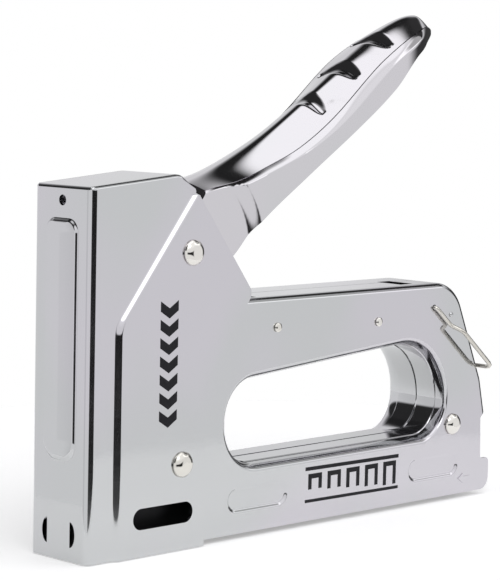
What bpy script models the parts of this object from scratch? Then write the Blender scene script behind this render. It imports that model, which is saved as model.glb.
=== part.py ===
"""Heavy-duty staple gun, built as the real one is: pressed shells, a folded nose cover, a channel
lever on a through rivet, a spring-driven plunger with its blade, and a pull-out staple pusher.

The muzzle points down (-Z) at the front (-X). The grip and the lever run rearward (+X), and the
left side is -Y. Lengths below are millimetres measured from the nose front face, the mid-plane and
the foot of the nose. The gun_datum empty turns them into the part's own frame.
"""

import math

import bmesh
import bpy
from mathutils import Vector

MM = 0.001

# Clearance between pieces that touch or run in each other.
GAP = 0.3

# Nose cover.
NOSE_HEIGHT = 118.0
NOSE_RISE = 3.2
PLATE_HALF = 15.2
NOSE_HALF = PLATE_HALF - 1.3
NOSE_SHEET = 1.1
NOSE_DEPTH = 49.4
EMBOSS_HEIGHT = 1.3
WINDOW = (18.0, 43.8, 8.8, 15.7)

# Body shells.
SHELL_SHEET = 1.1
SHELL_HALF = PLATE_HALF - NOSE_SHEET - GAP
SHELL_ROUND = 2.6
GRIP_TOP = 79.8
BODY_END = 196.8
BODY_FOOT = 1.5
GRIP_FRONT = 75.1
HAND_LIP_DEPTH = 4.6

# Lever.
LEVER_SHEET = 1.2
LEVER_HALF = PLATE_HALF + GAP
LEVER_NARROW_HALF = PLATE_HALF - NOSE_SHEET - 0.4
THROAT_RADIUS = 31.4
THROAT_RUN = 4.0
PIVOT_X = 42.0
PIVOT_Z = 96.3
PIVOT_BOSS = 6.6

# Rivets and pins.
RIVET_SHANK = 2.5
RIVET_HEAD = RIVET_SHANK + 1.7
RIVET_DOME = 2.1
NOSE_RIVET_X = 38.8
NOSE_RIVET_Z = 28.0
REAR_RIVET_X = BODY_END - 21.6
REAR_RIVET_Z = 27.7
PIN_SHANK = 1.1
PIN_HEAD = 1.6
GRIP_PINS = ((82.7, 69.4), (133.2, 68.0))

# Lifting fork.
FORK_OUTER = LEVER_NARROW_HALF - LEVER_SHEET - GAP
FORK_SHEET = 1.5
FORK_TOP = 100.0
FORK_RIVET_X = 54.5
FORK_RIVET_Z = 96.2

# Staples.
STAPLE_CROWN = 10.6
STAPLE_WIRE = 0.5

# Plunger, blade and power spring.
DRIVE_X = 15.3
YOKE_BASE_Z = 36.0
YOKE_SHEET = 1.2
YOKE_BASE = 2.4
YOKE_HALF = FORK_OUTER - FORK_SHEET - GAP
LUG_Z = 90.6
LUG_RADIUS = 1.5
BLADE_HALF = STAPLE_CROWN / 2 - 0.1
BLADE_FRONT = 1.5
BLADE_THICK = 1.2
BLADE_TOP = 52.0
SPRING_WIRE = 2.4
SPRING_OUTER = 2.0 * (YOKE_HALF - YOKE_SHEET - 0.4)
SPRING_TURNS = 9
CAP_FLANGE_Z = NOSE_HEIGHT - 4.2
CAP_THICK = 3.0

# Magazine.
CHANNEL_HALF = STAPLE_CROWN / 2 + 1.9
CHANNEL_SHEET = 0.9
CHANNEL_TOP = 16.0
CHANNEL_FOOT = 1.0
MAGAZINE_FRONT = 3.2
MAGAZINE_REAR = BODY_END - 12.8
RAIL_HALF = STAPLE_CROWN / 2 - 1.0
RAIL_SHEET = 0.9
RAIL_TOP = 12.6
RAIL_REAR = 150.0
STRIP_LENGTH = 80.0
FOLLOWER_LENGTH = 16.0
ROD_RADIUS = 1.2
ROD_Z = 7.3

# Handle lock wire.
WIRE_RADIUS = 0.8
WIRE_PIVOT_X = BODY_END - 33.6
WIRE_PIVOT_Z = 71.2
WIRE_HALF = LEVER_HALF + 3.5
WIRE_REACH = 27.7
WIRE_DROP = 23.3

DATUM_X = -(BODY_END - EMBOSS_HEIGHT) / 2


# ---------------------------------------------------------------- helpers


def clear_scene():
    """Remove every object that the start-up file left."""
    for obj in list(bpy.data.objects):
        bpy.data.objects.remove(obj, do_unlink=True)


def fillet(corners, segments=4):
    """Round the corners (a, b, radius) of a closed outline with short arcs."""
    points = []
    count = len(corners)
    for i, (a, b, radius) in enumerate(corners):
        here = Vector((a, b))
        if radius <= 0:
            points.append((a, b))
            continue
        before = (Vector(corners[i - 1][:2]) - here).normalized()
        after = (Vector(corners[(i + 1) % count][:2]) - here).normalized()
        half = before.angle(after) / 2
        reach = radius / math.tan(half)
        centre = here + (before + after).normalized() * (radius / math.sin(half))
        start = here + before * reach - centre
        sweep = start.angle_signed(here + after * reach - centre)
        for k in range(segments + 1):
            turn = -sweep * k / segments
            cos_t, sin_t = math.cos(turn), math.sin(turn)
            points.append(
                (
                    centre.x + start.x * cos_t - start.y * sin_t,
                    centre.y + start.x * sin_t + start.y * cos_t,
                )
            )
    return points


def side_ring(outline, y):
    """Place an (x, z) outline at a distance y from the mid-plane."""
    return [(x, y, z) for x, z in outline]


def front_ring(outline, x):
    """Place a (y, z) outline at a distance x from the nose front."""
    return [(x, y, z) for y, z in outline]


def mesh_object(name, verts, faces, colour=None):
    """Make an object from millimetre points, with its faces pointing outwards."""
    mesh = bpy.data.meshes.new(name)
    bm = bmesh.new()
    corners = [bm.verts.new(Vector(v) * MM) for v in verts]
    for face in faces:
        bm.faces.new([corners[i] for i in face])
    bmesh.ops.recalc_face_normals(bm, faces=bm.faces[:])
    bm.to_mesh(mesh)
    bm.free()
    obj = bpy.data.objects.new(name, mesh)
    bpy.context.collection.objects.link(obj)
    obj.parent = bpy.data.objects["gun_datum"]
    if colour:
        finish(obj, colour)
    return obj


def loft(name, rings, colour=None):
    """Join rings of equally many points and close both ends."""
    count = len(rings[0])
    verts = [point for ring in rings for point in ring]
    faces = [list(range(count)), list(range(len(verts) - count, len(verts)))]
    for level in range(len(rings) - 1):
        base = level * count
        for i in range(count):
            j = (i + 1) % count
            faces.append([base + i, base + j, base + count + j, base + count + i])
    return mesh_object(name, verts, faces, colour)


def side_prism(name, outline, y0, y1, colour=None):
    """Extrude an (x, z) outline across the gun."""
    return loft(name, [side_ring(outline, y0), side_ring(outline, y1)], colour)


def front_prism(name, outline, x0, x1, colour=None):
    """Extrude a (y, z) outline along the gun."""
    return loft(name, [front_ring(outline, x0), front_ring(outline, x1)], colour)


def box(name, x, y, z, colour=None):
    """Make a box from its three spans."""
    outline = [(x[0], z[0]), (x[1], z[0]), (x[1], z[1]), (x[0], z[1])]
    return side_prism(name, outline, y[0], y[1], colour)


def circle(a, b, radius, sides=16):
    """Give the points of a circle in the plane of the first two coordinates."""
    turns = [2 * math.pi * k / sides for k in range(sides)]
    return [(a + radius * math.cos(t), b + radius * math.sin(t)) for t in turns]


def cross_bar(name, x, z, profile, colour=None, sides=20):
    """Turn a (y, radius) profile about a line across the gun."""
    rings = [side_ring(circle(x, z, radius, sides), y) for y, radius in profile]
    return loft(name, rings, colour)


def tube(name, path, radius, colour=None, sides=8):
    """Sweep a round wire along millimetre points."""
    path = [Vector(point) for point in path]
    rings = []
    side = None
    for i, point in enumerate(path):
        ahead = path[min(i + 1, len(path) - 1)]
        behind = path[max(i - 1, 0)]
        along = (ahead - behind).normalized()
        if side is None:
            side = along.orthogonal().normalized()
        side = (side - along * side.dot(along)).normalized()
        other = along.cross(side)
        ring = []
        for k in range(sides):
            t = 2 * math.pi * k / sides
            ring.append(tuple(point + (side * math.cos(t) + other * math.sin(t)) * radius))
        rings.append(ring)
    return loft(name, rings, colour)


def hide_tool(obj):
    """Keep a cutting solid out of the part."""
    obj.hide_render = True
    obj.display_type = "WIRE"


def combine(target, others, operation):
    """Add one exact boolean for each solid, in order."""
    for other in others:
        modifier = target.modifiers.new(other.name, "BOOLEAN")
        modifier.operation = operation
        modifier.solver = "EXACT"
        modifier.object = other
        hide_tool(other)


def cut(target, *tools):
    """Take the tools' shapes out of the target."""
    combine(target, tools, "DIFFERENCE")


def weld(target, *parts):
    """Join solids that overlap the target into it."""
    combine(target, parts, "UNION")


def finish(obj, colour):
    """Give a sub-part its own metal, rubber or steel-wire material."""
    red, green, blue, roughness, metallic = colour
    material = bpy.data.materials.new(obj.name + "_finish")
    material.use_nodes = True
    shader = material.node_tree.nodes["Principled BSDF"]
    shader.inputs["Base Color"].default_value = (red, green, blue, 1.0)
    shader.inputs["Roughness"].default_value = roughness
    shader.inputs["Metallic"].default_value = metallic
    obj.data.materials.append(material)


CHROME = (0.74, 0.74, 0.76, 0.18, 1.0)
NICKEL = (0.72, 0.70, 0.66, 0.22, 1.0)
STEEL = (0.48, 0.48, 0.50, 0.38, 1.0)
SPRING_STEEL = (0.30, 0.30, 0.32, 0.35, 1.0)
STAPLE_STEEL = (0.62, 0.62, 0.64, 0.30, 1.0)
RUBBER = (0.04, 0.04, 0.045, 0.75, 0.0)


def rivet(name, x, z, half, colour=NICKEL, shank=RIVET_SHANK, head=RIVET_HEAD, dome=RIVET_DOME):
    """Make a through rivet with a low dome at each side."""
    seat = half + GAP
    steps = 4
    cap = []
    for k in range(steps + 1):
        t = math.pi / 2 * k / steps
        cap.append((seat + 0.5 + dome * math.sin(t), max(head * math.cos(t), 0.4)))
    right = [(seat, shank), (seat, head)] + cap
    left = [(-y, radius) for y, radius in reversed(right)]
    return cross_bar(name, x, z, left + right, colour)


def hole(name, x, z, radius, half=20.0):
    """Make a drill that goes through both sides."""
    return cross_bar(name, x, z, [(-half, radius), (half, radius)])


# ---------------------------------------------------------------- nose cover


def nose_top(x):
    """Height of the nose roof, which rises towards the rear."""
    return NOSE_HEIGHT + NOSE_RISE * x / 34.4


def nose_outline(inset=0.0):
    """Side view of the nose's narrow front part."""
    return [
        (inset, -8.0 if inset else 0.0, 0),
        (inset, nose_top(0) - inset, 0),
        (37.5, nose_top(37.5) - inset, 4.5),
        (44.2, 116.2, 1.5),
        (43.0, 113.0, 0),
        (13.5, 75.5, 0),
        (13.5, -8.0 if inset else 0.0, 0),
    ]


def plate_outline(shift, reach=0.0):
    """Side view of the raised cheek. shift moves its front edge rearward, reach opens its back."""
    slope = 1.28 * shift
    back = [
        (44.4 + slope + 0.8 * reach, 114.7 + reach, 0),
        (68.6 + reach, 83.0, 1.2),
        (68.6 + reach, 80.4, 1.2),
        (NOSE_DEPTH - 0.2 + reach, 55.0, 3.0),
        (NOSE_DEPTH - 0.2 + reach, -reach, 0),
    ]
    front = [(12.4 + shift, -reach, 0), (12.4 + shift, 74.5, 5.0)]
    return fillet(front + back)


def nose_housing():
    """Folded front cover: front wall, roof, narrow sides, and raised cheeks at the rear."""
    joggle = 2.5
    step = PLATE_HALF - NOSE_HALF
    narrow = fillet(nose_outline())
    body = side_prism("nose_housing", narrow, -NOSE_HALF, NOSE_HALF, CHROME)
    front_edges = body.modifiers.new("front_bends", "BEVEL")
    front_edges.width = 1.4 * MM
    front_edges.segments = 3
    front_edges.limit_method = "WEIGHT"
    weight = body.data.attributes.new("bevel_weight_edge", "FLOAT", "EDGE")
    for edge in body.data.edges:
        ends = [body.data.vertices[i].co for i in edge.vertices]
        upright = abs(ends[0].z - ends[1].z) > 50 * MM
        weight.data[edge.index].value = 1.0 if upright and ends[0].x < 1 * MM else 0.0

    wide, flared = plate_outline(0.0), plate_outline(-joggle)
    cheeks = loft(
        "cheek_block",
        [
            side_ring(wide, -PLATE_HALF),
            side_ring(flared, -NOSE_HALF + 0.02),
            side_ring(flared, NOSE_HALF - 0.02),
            side_ring(wide, PLATE_HALF),
        ],
    )
    weld(body, cheeks, emboss("emboss_outer", 0.0))

    inner = NOSE_HALF - NOSE_SHEET
    hollow_outline = [
        (NOSE_SHEET, -8.0, 0),
        (NOSE_SHEET, nose_top(0) - NOSE_SHEET, 0),
        (37.0, nose_top(37.0) - NOSE_SHEET, 0),
        (37.6, 130.0, 0),
        (80.0, 130.0, 0),
        (80.0, -8.0, 0),
    ]
    hollow = side_prism("nose_hollow", fillet(hollow_outline), -inner, inner)
    lean = 0.27
    deep, shallow = plate_outline(lean, 9.0), plate_outline(lean - joggle, 9.0)
    cheek_hollow = loft(
        "cheek_hollow",
        [
            side_ring(deep, -inner - step),
            side_ring(shallow, -inner + 0.02),
            side_ring(shallow, inner - 0.02),
            side_ring(deep, inner + step),
        ],
    )
    cut(body, hollow, cheek_hollow, emboss("emboss_inner", NOSE_SHEET))
    cut(body, side_window("nose_window"))
    pivot = hole("pivot_drill", PIVOT_X, PIVOT_Z, RIVET_SHANK + GAP)
    lower = hole("nose_rivet_drill", NOSE_RIVET_X, NOSE_RIVET_Z, RIVET_SHANK + GAP)
    sight = front_prism("sight_drill", circle(0.0, 113.4, 1.7, 14), -5.0, 8.0)
    cut(body, pivot, lower, sight, *staple_slits())
    return body


def emboss(name, inset):
    """The long stiffening rib pressed forward out of the front wall."""
    half = 7.9 - inset * 0.6
    low, high = 31.0 + inset, 108.0 - inset
    foot = fillet([(-half, low, 7.0), (half, low, 7.0), (half, high, 3.0), (-half, high, 3.0)])
    narrow, low, high = half - 1.1, low + 2.0, high - 2.0
    crest = fillet([(-narrow, low, 6.0), (narrow, low, 6.0), (narrow, high, 2.4), (-narrow, high, 2.4)])
    return loft(
        name,
        [
            front_ring(crest, inset - EMBOSS_HEIGHT),
            front_ring(foot, inset - 0.2),
            front_ring(foot, inset + 0.6),
        ],
    )


def side_window(name, margin=0.0):
    """Oval window through both sides, beside the front of the staple strip."""
    x0, x1, z0, z1 = WINDOW
    x0, x1, z0, z1 = x0 - margin, x1 + margin, z0 - margin, z1 + margin
    radius = (z1 - z0) / 2 - 0.05
    outline = fillet([(x0, z0, radius), (x1, z0, radius), (x1, z1, radius), (x0, z1, radius)], 5)
    return side_prism(name, outline, -20.0, 20.0)


def staple_slits():
    """Two D-shaped slits in the front wall, one beside each leg of a staple."""
    slits = []
    for sign, name in ((-1, "left"), (1, "right")):
        half = STAPLE_CROWN / 2 + 0.2
        outline = [(sign * half, 4.4), (sign * half, 12.6)]
        for k in range(1, 5):
            t = math.pi * k / 5
            outline.append((sign * (half + 2.4 * math.sin(t)), 8.5 + 4.1 * math.cos(t)))
        slits.append(front_prism("slit_" + name, outline, -3.0, 2.0))
    return slits


# ---------------------------------------------------------------- body shells


def shell_outline():
    """Rim of a shell where its edge is rolled, run past its raw edges, which are trimmed later."""
    return fillet(
        [
            (10.0, -12.0, 0),
            (10.0, GRIP_TOP, 0),
            (BODY_END - 21.3, GRIP_TOP, 15.0),
            (BODY_END - 5.1, 43.2, 12.0),
            (BODY_END - 2.3, 31.2, 0),
            (BODY_END + 12.0, 27.0, 0),
            (BODY_END + 12.0, -12.0, 0),
        ],
        6,
    )


def shell_keep_outline():
    """What stays of a shell: raw edges at the front, the foot, the rear notch and the tab."""
    return fillet(
        [
            (27.0, BODY_FOOT, 2.0),
            (27.0, 50.0, 4.0),
            (54.0, GRIP_TOP + 8.0, 0),
            (BODY_END + 20.0, GRIP_TOP + 8.0, 0),
            (BODY_END + 20.0, 31.2, 0),
            (BODY_END - 2.3, 31.2, 1.2),
            (BODY_END - 5.4, 28.6, 1.0),
            (BODY_END - 4.8, 13.2, 1.0),
            (BODY_END, 13.2, 1.6),
            (BODY_END, BODY_FOOT, 4.4),
        ]
    )


def hand_hole(offset):
    """Grip opening: a stadium whose rear end is the larger. offset = 0 is its inner wall."""
    rear = BODY_END - 26.6 + offset * 2.0
    return fillet(
        [
            (59.8 - offset, 24.0 - offset, 14.0 + offset),
            (59.8 - offset, 52.5 + offset, 13.5 + offset),
            (rear, 61.4 + offset * 1.2, 21.4 + offset),
            (rear, 24.6 - offset, 12.5 + offset),
        ],
        6,
    )


def oval(x0, x1, z0, z1, inset):
    """Shallow stiffening oval pressed into the lower bar."""
    radius = (z1 - z0) / 2 - inset - 0.05
    return fillet(
        [
            (x0 + inset, z0 + inset, radius),
            (x1 - inset, z0 + inset, radius),
            (x1 - inset, z1 - inset, radius),
            (x0 + inset, z1 - inset, radius),
        ],
        3,
    )


def shrink(outline, distance):
    """Move every point of a clockwise outline inwards along its corner's bisector."""
    moved = []
    count = len(outline)
    for i in range(count):
        before = Vector(outline[i]) - Vector(outline[i - 1])
        after = Vector(outline[(i + 1) % count]) - Vector(outline[i])
        normals = [Vector((v.y, -v.x)).normalized() for v in (before, after)]
        bisector = (normals[0] + normals[1]).normalized()
        reach = distance / bisector.dot(normals[0])
        moved.append((outline[i][0] + bisector.x * reach, outline[i][1] + bisector.y * reach))
    return moved


def pressed_skin(name, rim_rings, pressings, colour, outward):
    """Build one pressed sheet: a flat panel, a rolled rim, and pressings (rings, closed)."""
    bm = bmesh.new()

    def add_ring(ring):
        return [bm.verts.new(Vector(point) * MM) for point in ring]

    def bridge(first, second):
        count = len(first)
        for i in range(count):
            j = (i + 1) % count
            bm.faces.new([first[i], first[j], second[j], second[i]])

    panel_edges = []
    for rings, closed in [(rim_rings, False)] + pressings:
        loops = [add_ring(ring) for ring in rings]
        for first, second in zip(loops, loops[1:]):
            bridge(first, second)
        if closed:
            bm.faces.new(loops[-1])
        for i, vert in enumerate(loops[0]):
            follower = loops[0][(i + 1) % len(loops[0])]
            edge = bm.edges.get((vert, follower))
            panel_edges.append(edge or bm.edges.new((vert, follower)))
    filled = bmesh.ops.triangle_fill(bm, use_beauty=True, edges=panel_edges)
    bmesh.ops.recalc_face_normals(bm, faces=bm.faces[:])
    panel = [item for item in filled["geom"] if isinstance(item, bmesh.types.BMFace)]
    if panel[0].normal.y * outward < 0:
        bmesh.ops.reverse_faces(bm, faces=bm.faces[:])
    mesh = bpy.data.meshes.new(name)
    bm.to_mesh(mesh)
    bm.free()
    obj = bpy.data.objects.new(name, mesh)
    bpy.context.collection.objects.link(obj)
    obj.parent = bpy.data.objects["gun_datum"]
    finish(obj, colour)
    thicken = obj.modifiers.new("sheet", "SOLIDIFY")
    thicken.thickness = SHELL_SHEET * MM
    thicken.offset = -1.0
    thicken.use_even_offset = True
    return obj


def body_shell(name, side):
    """One half of the body: side wall, rolled grip and hand-hole edges that meet its twin."""
    face = side * SHELL_HALF
    seam = side * GAP / 2
    rim = shell_outline()
    rim_rings = []
    steps = 4
    for k in range(steps + 1):
        t = math.pi / 2 * k / steps
        inset = SHELL_ROUND * (1 - math.sin(t))
        depth = SHELL_ROUND * (1 - math.cos(t))
        rim_rings.append(side_ring(shrink(rim, inset), face - side * depth))
    rim_rings.append(side_ring(rim, seam))

    lip = []
    for offset, share in ((2.6, 0.0), (1.9, 0.07), (1.2, 0.25), (0.5, 0.6), (0.0, 1.0)):
        lip.append(side_ring(hand_hole(offset), face - side * HAND_LIP_DEPTH * share))
    lip.append(side_ring(hand_hole(0.0), seam))
    pressings = [(lip, False)]
    for x0, x1 in ((60.7, 89.6), (BODY_END - 45.5, BODY_END - 17.6)):
        rings = []
        for inset, share in ((0.0, 0.0), (0.5, 0.25), (1.1, 0.8), (1.5, 1.0)):
            rings.append(side_ring(oval(x0, x1, 8.3, 17.2, inset), face - side * 0.7 * share))
        pressings.append((rings, True))
    shell = pressed_skin(name, rim_rings, pressings, CHROME, side)

    near, far = sorted((side * (SHELL_HALF + 4.0), -side * 2.0))
    keep = side_prism(name + "_keep", shell_keep_outline(), near, far)
    combine(shell, [keep], "INTERSECT")
    inner = SHELL_HALF - SHELL_ROUND - 0.15
    span = tuple(sorted((side * inner, -side * 2.0)))
    throat = box(name + "_throat", (0.0, GRIP_FRONT), span, (60.0, 90.0))
    foot = box(name + "_foot", (0.0, BODY_END + 20.0), span, (-20.0, 5.0))
    rear = box(name + "_rear", (BODY_END - 14.0, BODY_END + 20.0), span, (-20.0, 31.2))
    drills = [
        hole(name + "_nose_drill", NOSE_RIVET_X, NOSE_RIVET_Z, RIVET_SHANK + GAP),
        hole(name + "_rear_drill", REAR_RIVET_X, REAR_RIVET_Z, RIVET_SHANK + GAP),
        hole(name + "_wire_drill", WIRE_PIVOT_X, WIRE_PIVOT_Z, WIRE_RADIUS + GAP),
    ]
    for i, (x, z) in enumerate(GRIP_PINS):
        drills.append(hole(name + "_pin_drill_%d" % i, x, z, PIN_SHANK + GAP))
    window = box(name + "_top_window", (150.0, 156.5), (-9.0, 2.5), (75.0, 90.0))
    cut(shell, throat, foot, rear, window, side_window(name + "_window", 1.2), *drills)
    return shell


# ---------------------------------------------------------------- lever


def smooth(table, x):
    """Read a smooth curve through (x, value) knots with Catmull-Rom slopes."""
    if x <= table[0][0]:
        return table[0][1]
    if x >= table[-1][0]:
        return table[-1][1]
    i = max(k for k in range(len(table) - 1) if table[k][0] <= x)

    def slope(k):
        low, high = max(k - 1, 0), min(k + 1, len(table) - 1)
        return (table[high][1] - table[low][1]) / (table[high][0] - table[low][0])

    x0, y0 = table[i]
    x1, y1 = table[i + 1]
    run = x1 - x0
    t = (x - x0) / run
    hermite = (2 * t**3 - 3 * t**2 + 1) * y0 + (t**3 - 2 * t**2 + t) * run * slope(i)
    return hermite + (3 * t**2 - 2 * t**3) * y1 + (t**3 - t**2) * run * slope(i + 1)


LEVER_CROWN = (
    (30.0, 108.0),
    (44.0, 115.6),
    (64.9, 123.1),
    (87.0, 134.9),
    (110.0, 149.5),
    (133.7, 166.3),
    (150.3, 173.5),
    (163.2, 175.8),
    (170.8, 171.0),
)
LEVER_EDGE = (
    (30.0, 84.0),
    (50.0, 88.5),
    (61.0, 94.0),
    (71.4, 104.3),
    (94.2, 119.8),
    (118.8, 135.8),
    (138.3, 149.6),
    (152.0, 159.5),
    (163.0, 166.0),
    (170.8, 169.5),
)
LEVER_WIDTH = (
    (30.0, LEVER_HALF),
    (110.0, LEVER_HALF),
    (138.0, 15.0),
    (154.0, 12.6),
    (163.0, 9.0),
    (168.5, 5.2),
    (170.8, 2.6),
)


def lever_section(x):
    """Half a section of the lever: crown, crease, slanting shoulder and upright wall."""
    top = smooth(LEVER_CROWN, x)
    edge = smooth(LEVER_EDGE, x)
    half = smooth(LEVER_WIDTH, x)
    depth = top - edge
    section = [
        (0.0, top),
        (0.28 * half, top - 0.02 * depth),
        (0.52 * half, top - 0.09 * depth),
        (0.70 * half, top - 0.20 * depth),
        (0.80 * half, top - 0.27 * depth),
        (0.92 * half, top - 0.38 * depth),
        (half, top - 0.50 * depth),
        (half, edge),
    ]
    return [(min(y, throat_half(x, z)), z) for y, z in section]


def throat_half(x, z):
    """Widest that the lever may be: narrow wherever it swings between the cheeks."""
    distance = math.hypot(x - PIVOT_X, z - PIVOT_Z)
    share = min(max((distance - THROAT_RADIUS) / THROAT_RUN, 0.0), 1.0)
    return LEVER_NARROW_HALF + (LEVER_HALF - LEVER_NARROW_HALF) * share


def lever():
    """Channel-section squeeze lever, open below and closed at its rounded tip."""
    stations = [32.0, 40.0, 48.0, 56.0, 62.0, 67.0, 70.0, 73.0, 76.0, 80.0, 88.0, 98.0, 108.0, 118.0]
    stations += [128.0, 138.0, 146.0, 153.0, 159.0, 163.5, 167.0, 169.2, 170.8]
    bm = bmesh.new()
    rows = []
    for x in stations:
        half = lever_section(x)
        full = [(-y, z) for y, z in reversed(half)] + half[1:]
        rows.append([bm.verts.new(Vector((x, y, z)) * MM) for y, z in full])
    for first, second in zip(rows, rows[1:]):
        for i in range(len(first) - 1):
            bm.faces.new([first[i], first[i + 1], second[i + 1], second[i]])
    bm.faces.new(rows[-1])
    bmesh.ops.recalc_face_normals(bm, faces=bm.faces[:])
    crown = max(bm.faces, key=lambda face: face.calc_center_median().z)
    if crown.normal.z < 0:
        bmesh.ops.reverse_faces(bm, faces=bm.faces[:])
    mesh = bpy.data.meshes.new("lever")
    bm.to_mesh(mesh)
    bm.free()
    obj = bpy.data.objects.new("lever", mesh)
    bpy.context.collection.objects.link(obj)
    obj.parent = bpy.data.objects["gun_datum"]
    finish(obj, CHROME)
    thicken = obj.modifiers.new("sheet", "SOLIDIFY")
    thicken.thickness = LEVER_SHEET * MM
    thicken.offset = -1.0
    thicken.use_even_offset = True

    trim = side_prism("lever_front_trim", lever_front_trim(), -20.0, 20.0)
    drills = [hole("lever_pivot_drill", PIVOT_X, PIVOT_Z, RIVET_SHANK + GAP)]
    drills.append(hole("fork_rivet_drill", FORK_RIVET_X, FORK_RIVET_Z, PIN_HEAD + GAP))
    cut(obj, trim, *drills)
    return obj


def lever_front_trim():
    """What is taken off the lever's front so that it turns inside the cheeks."""
    outline = [(10.0, 140.0), (10.0, 60.0), (PIVOT_X + 4.0, 60.0)]
    outline.append((PIVOT_X + 4.0, PIVOT_Z - PIVOT_BOSS - 0.9))
    lean = math.atan2(1.0, 0.797)
    start, stop = math.radians(-72.0), math.radians(-180.0) - (math.pi / 2 - lean)
    for k in range(7):
        t = start + (stop - start) * k / 6
        outline.append((PIVOT_X + PIVOT_BOSS * math.cos(t), PIVOT_Z + PIVOT_BOSS * math.sin(t)))
    last = outline[-1]
    outline.append((last[0] + 0.797 * (140.0 - last[1]), 140.0))
    return outline


def lifting_fork():
    """Inner fork riveted in the lever. Its two arms reach forward under the plunger's lugs."""
    arm = fillet(
        [
            (DRIVE_X - 3.0, LUG_Z - 2.3, 2.9),
            (DRIVE_X - 3.0, LUG_Z - 8.3, 2.9),
            (DRIVE_X + 5.0, LUG_Z - 8.9, 3.0),
            (PIVOT_X, PIVOT_Z - PIVOT_BOSS, 5.0),
            (52.0, 91.0, 2.0),
            (60.5, 95.0, 2.0),
            (60.5, FORK_TOP, 1.0),
            (45.0, FORK_TOP, 3.0),
            (30.0, 94.5, 5.0),
            (DRIVE_X + 3.0, LUG_Z - 2.3, 2.0),
        ],
        3,
    )
    fork = side_prism("lifting_fork", arm, -FORK_OUTER, FORK_OUTER, STEEL)
    inner = FORK_OUTER - FORK_SHEET
    gap_front = box("fork_gap_front", (0.0, 48.0), (-inner, inner), (70.0, 120.0))
    gap_rear = box("fork_gap_rear", (47.0, 70.0), (-inner, inner), (70.0, FORK_TOP - FORK_SHEET))
    pivot = hole("fork_pivot_drill", PIVOT_X, PIVOT_Z, RIVET_SHANK + GAP)
    rivets = hole("fork_drill", FORK_RIVET_X, FORK_RIVET_Z, PIN_SHANK + GAP)
    cut(fork, gap_front, gap_rear, pivot, rivets)
    return fork


def fork_rivet(name, side):
    """Short rivet that holds one arm of the fork to the lever's wall."""
    inside = FORK_OUTER - FORK_SHEET - GAP - 0.6
    outside = LEVER_NARROW_HALF - 0.1
    neck = FORK_OUTER + GAP
    profile = [
        (inside, PIN_HEAD),
        (inside + 0.6, PIN_HEAD),
        (inside + 0.6, PIN_SHANK),
        (neck, PIN_SHANK),
        (neck, PIN_HEAD),
        (outside, PIN_HEAD),
    ]
    return cross_bar(name, FORK_RIVET_X, FORK_RIVET_Z, [(side * y, r) for y, r in profile], NICKEL)


def spacer(name, x, z, half, inner, outer):
    """Plain tube across the gun that keeps two walls apart."""
    sleeve = cross_bar(name, x, z, [(-half, outer), (half, outer)], STEEL)
    cut(sleeve, hole(name + "_bore", x, z, inner))
    return sleeve


# ---------------------------------------------------------------- plunger and spring


def plunger_yoke():
    """Stirrup around the power spring: base plate, two straps, and a lug on each strap."""
    half = YOKE_HALF
    inner = half - YOKE_SHEET
    top = LUG_Z + 3.0
    outline = [
        (-half, YOKE_BASE_Z),
        (half, YOKE_BASE_Z),
        (half, top),
        (inner, top),
        (inner, YOKE_BASE_Z + YOKE_BASE),
        (-inner, YOKE_BASE_Z + YOKE_BASE),
        (-inner, top),
        (-half, top),
    ]
    yoke = front_prism("plunger_yoke", outline, DRIVE_X - 3.4, DRIVE_X + 3.4, STEEL)
    plate = box("yoke_plate", (4.2, 26.4), (-half, half), (YOKE_BASE_Z, YOKE_BASE_Z + YOKE_BASE))
    tongue = box("yoke_tongue", (0.7, 5.0), (-3.0, 3.0), (YOKE_BASE_Z, YOKE_BASE_Z + YOKE_BASE))
    lugs = []
    for side, name in ((-1, "left"), (1, "right")):
        span = [(side * (half - 0.6), LUG_RADIUS), (side * (FORK_OUTER + 0.2), LUG_RADIUS)]
        lugs.append(cross_bar("yoke_lug_" + name, DRIVE_X, LUG_Z, span, sides=12))
    weld(yoke, plate, tongue, *lugs)
    return yoke


def driver_blade():
    """Hardened strip that strikes the staple. The yoke's tongue sits in its slot."""
    x = (BLADE_FRONT, BLADE_FRONT + BLADE_THICK)
    blade = box("driver_blade", x, (-BLADE_HALF, BLADE_HALF), (1.0, BLADE_TOP), STEEL)
    slot_z = (YOKE_BASE_Z - GAP, YOKE_BASE_Z + YOKE_BASE + GAP)
    cut(blade, box("blade_slot", (0.0, 5.0), (-3.0 - GAP, 3.0 + GAP), slot_z))
    return blade


def coil(name, start, finish_at, radius, wire, turns, axis, steps, sides):
    """Compression spring whose last half turns are closed, along X or Z."""
    ends = 0.9 * wire
    length = finish_at - start - 2 * ends
    path = []
    total = int(turns * steps)
    for k in range(total + 1):
        share = k / total
        eased = share - math.sin(2 * math.pi * share) / (2 * math.pi * 3.0)
        along = start + ends + length * eased
        t = 2 * math.pi * turns * share
        a, b = radius * math.cos(t), radius * math.sin(t)
        path.append((along, a, ROD_Z + b) if axis == "X" else (DRIVE_X + a, b, along))
    return tube(name, path, wire / 2, SPRING_STEEL, sides)


def power_spring():
    """Main spring between the plunger's base and the cap under the nose roof."""
    low = YOKE_BASE_Z + YOKE_BASE + GAP
    high = CAP_FLANGE_Z - GAP
    radius = (SPRING_OUTER - SPRING_WIRE) / 2
    return coil("power_spring", low, high, radius, SPRING_WIRE, SPRING_TURNS, "Z", 14, 6)


def spring_cap():
    """Steel cap that seats the power spring under the nose roof."""
    roof = CAP_FLANGE_Z + CAP_THICK
    radius = SPRING_OUTER / 2
    rings = []
    for z, r in ((CAP_FLANGE_Z - 5.0, 3.6), (CAP_FLANGE_Z, 4.4), (CAP_FLANGE_Z, radius), (roof, radius)):
        rings.append([(a, b, z) for a, b in circle(DRIVE_X, 0.0, r, 20)])
    return loft("spring_cap", rings, STEEL)


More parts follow.
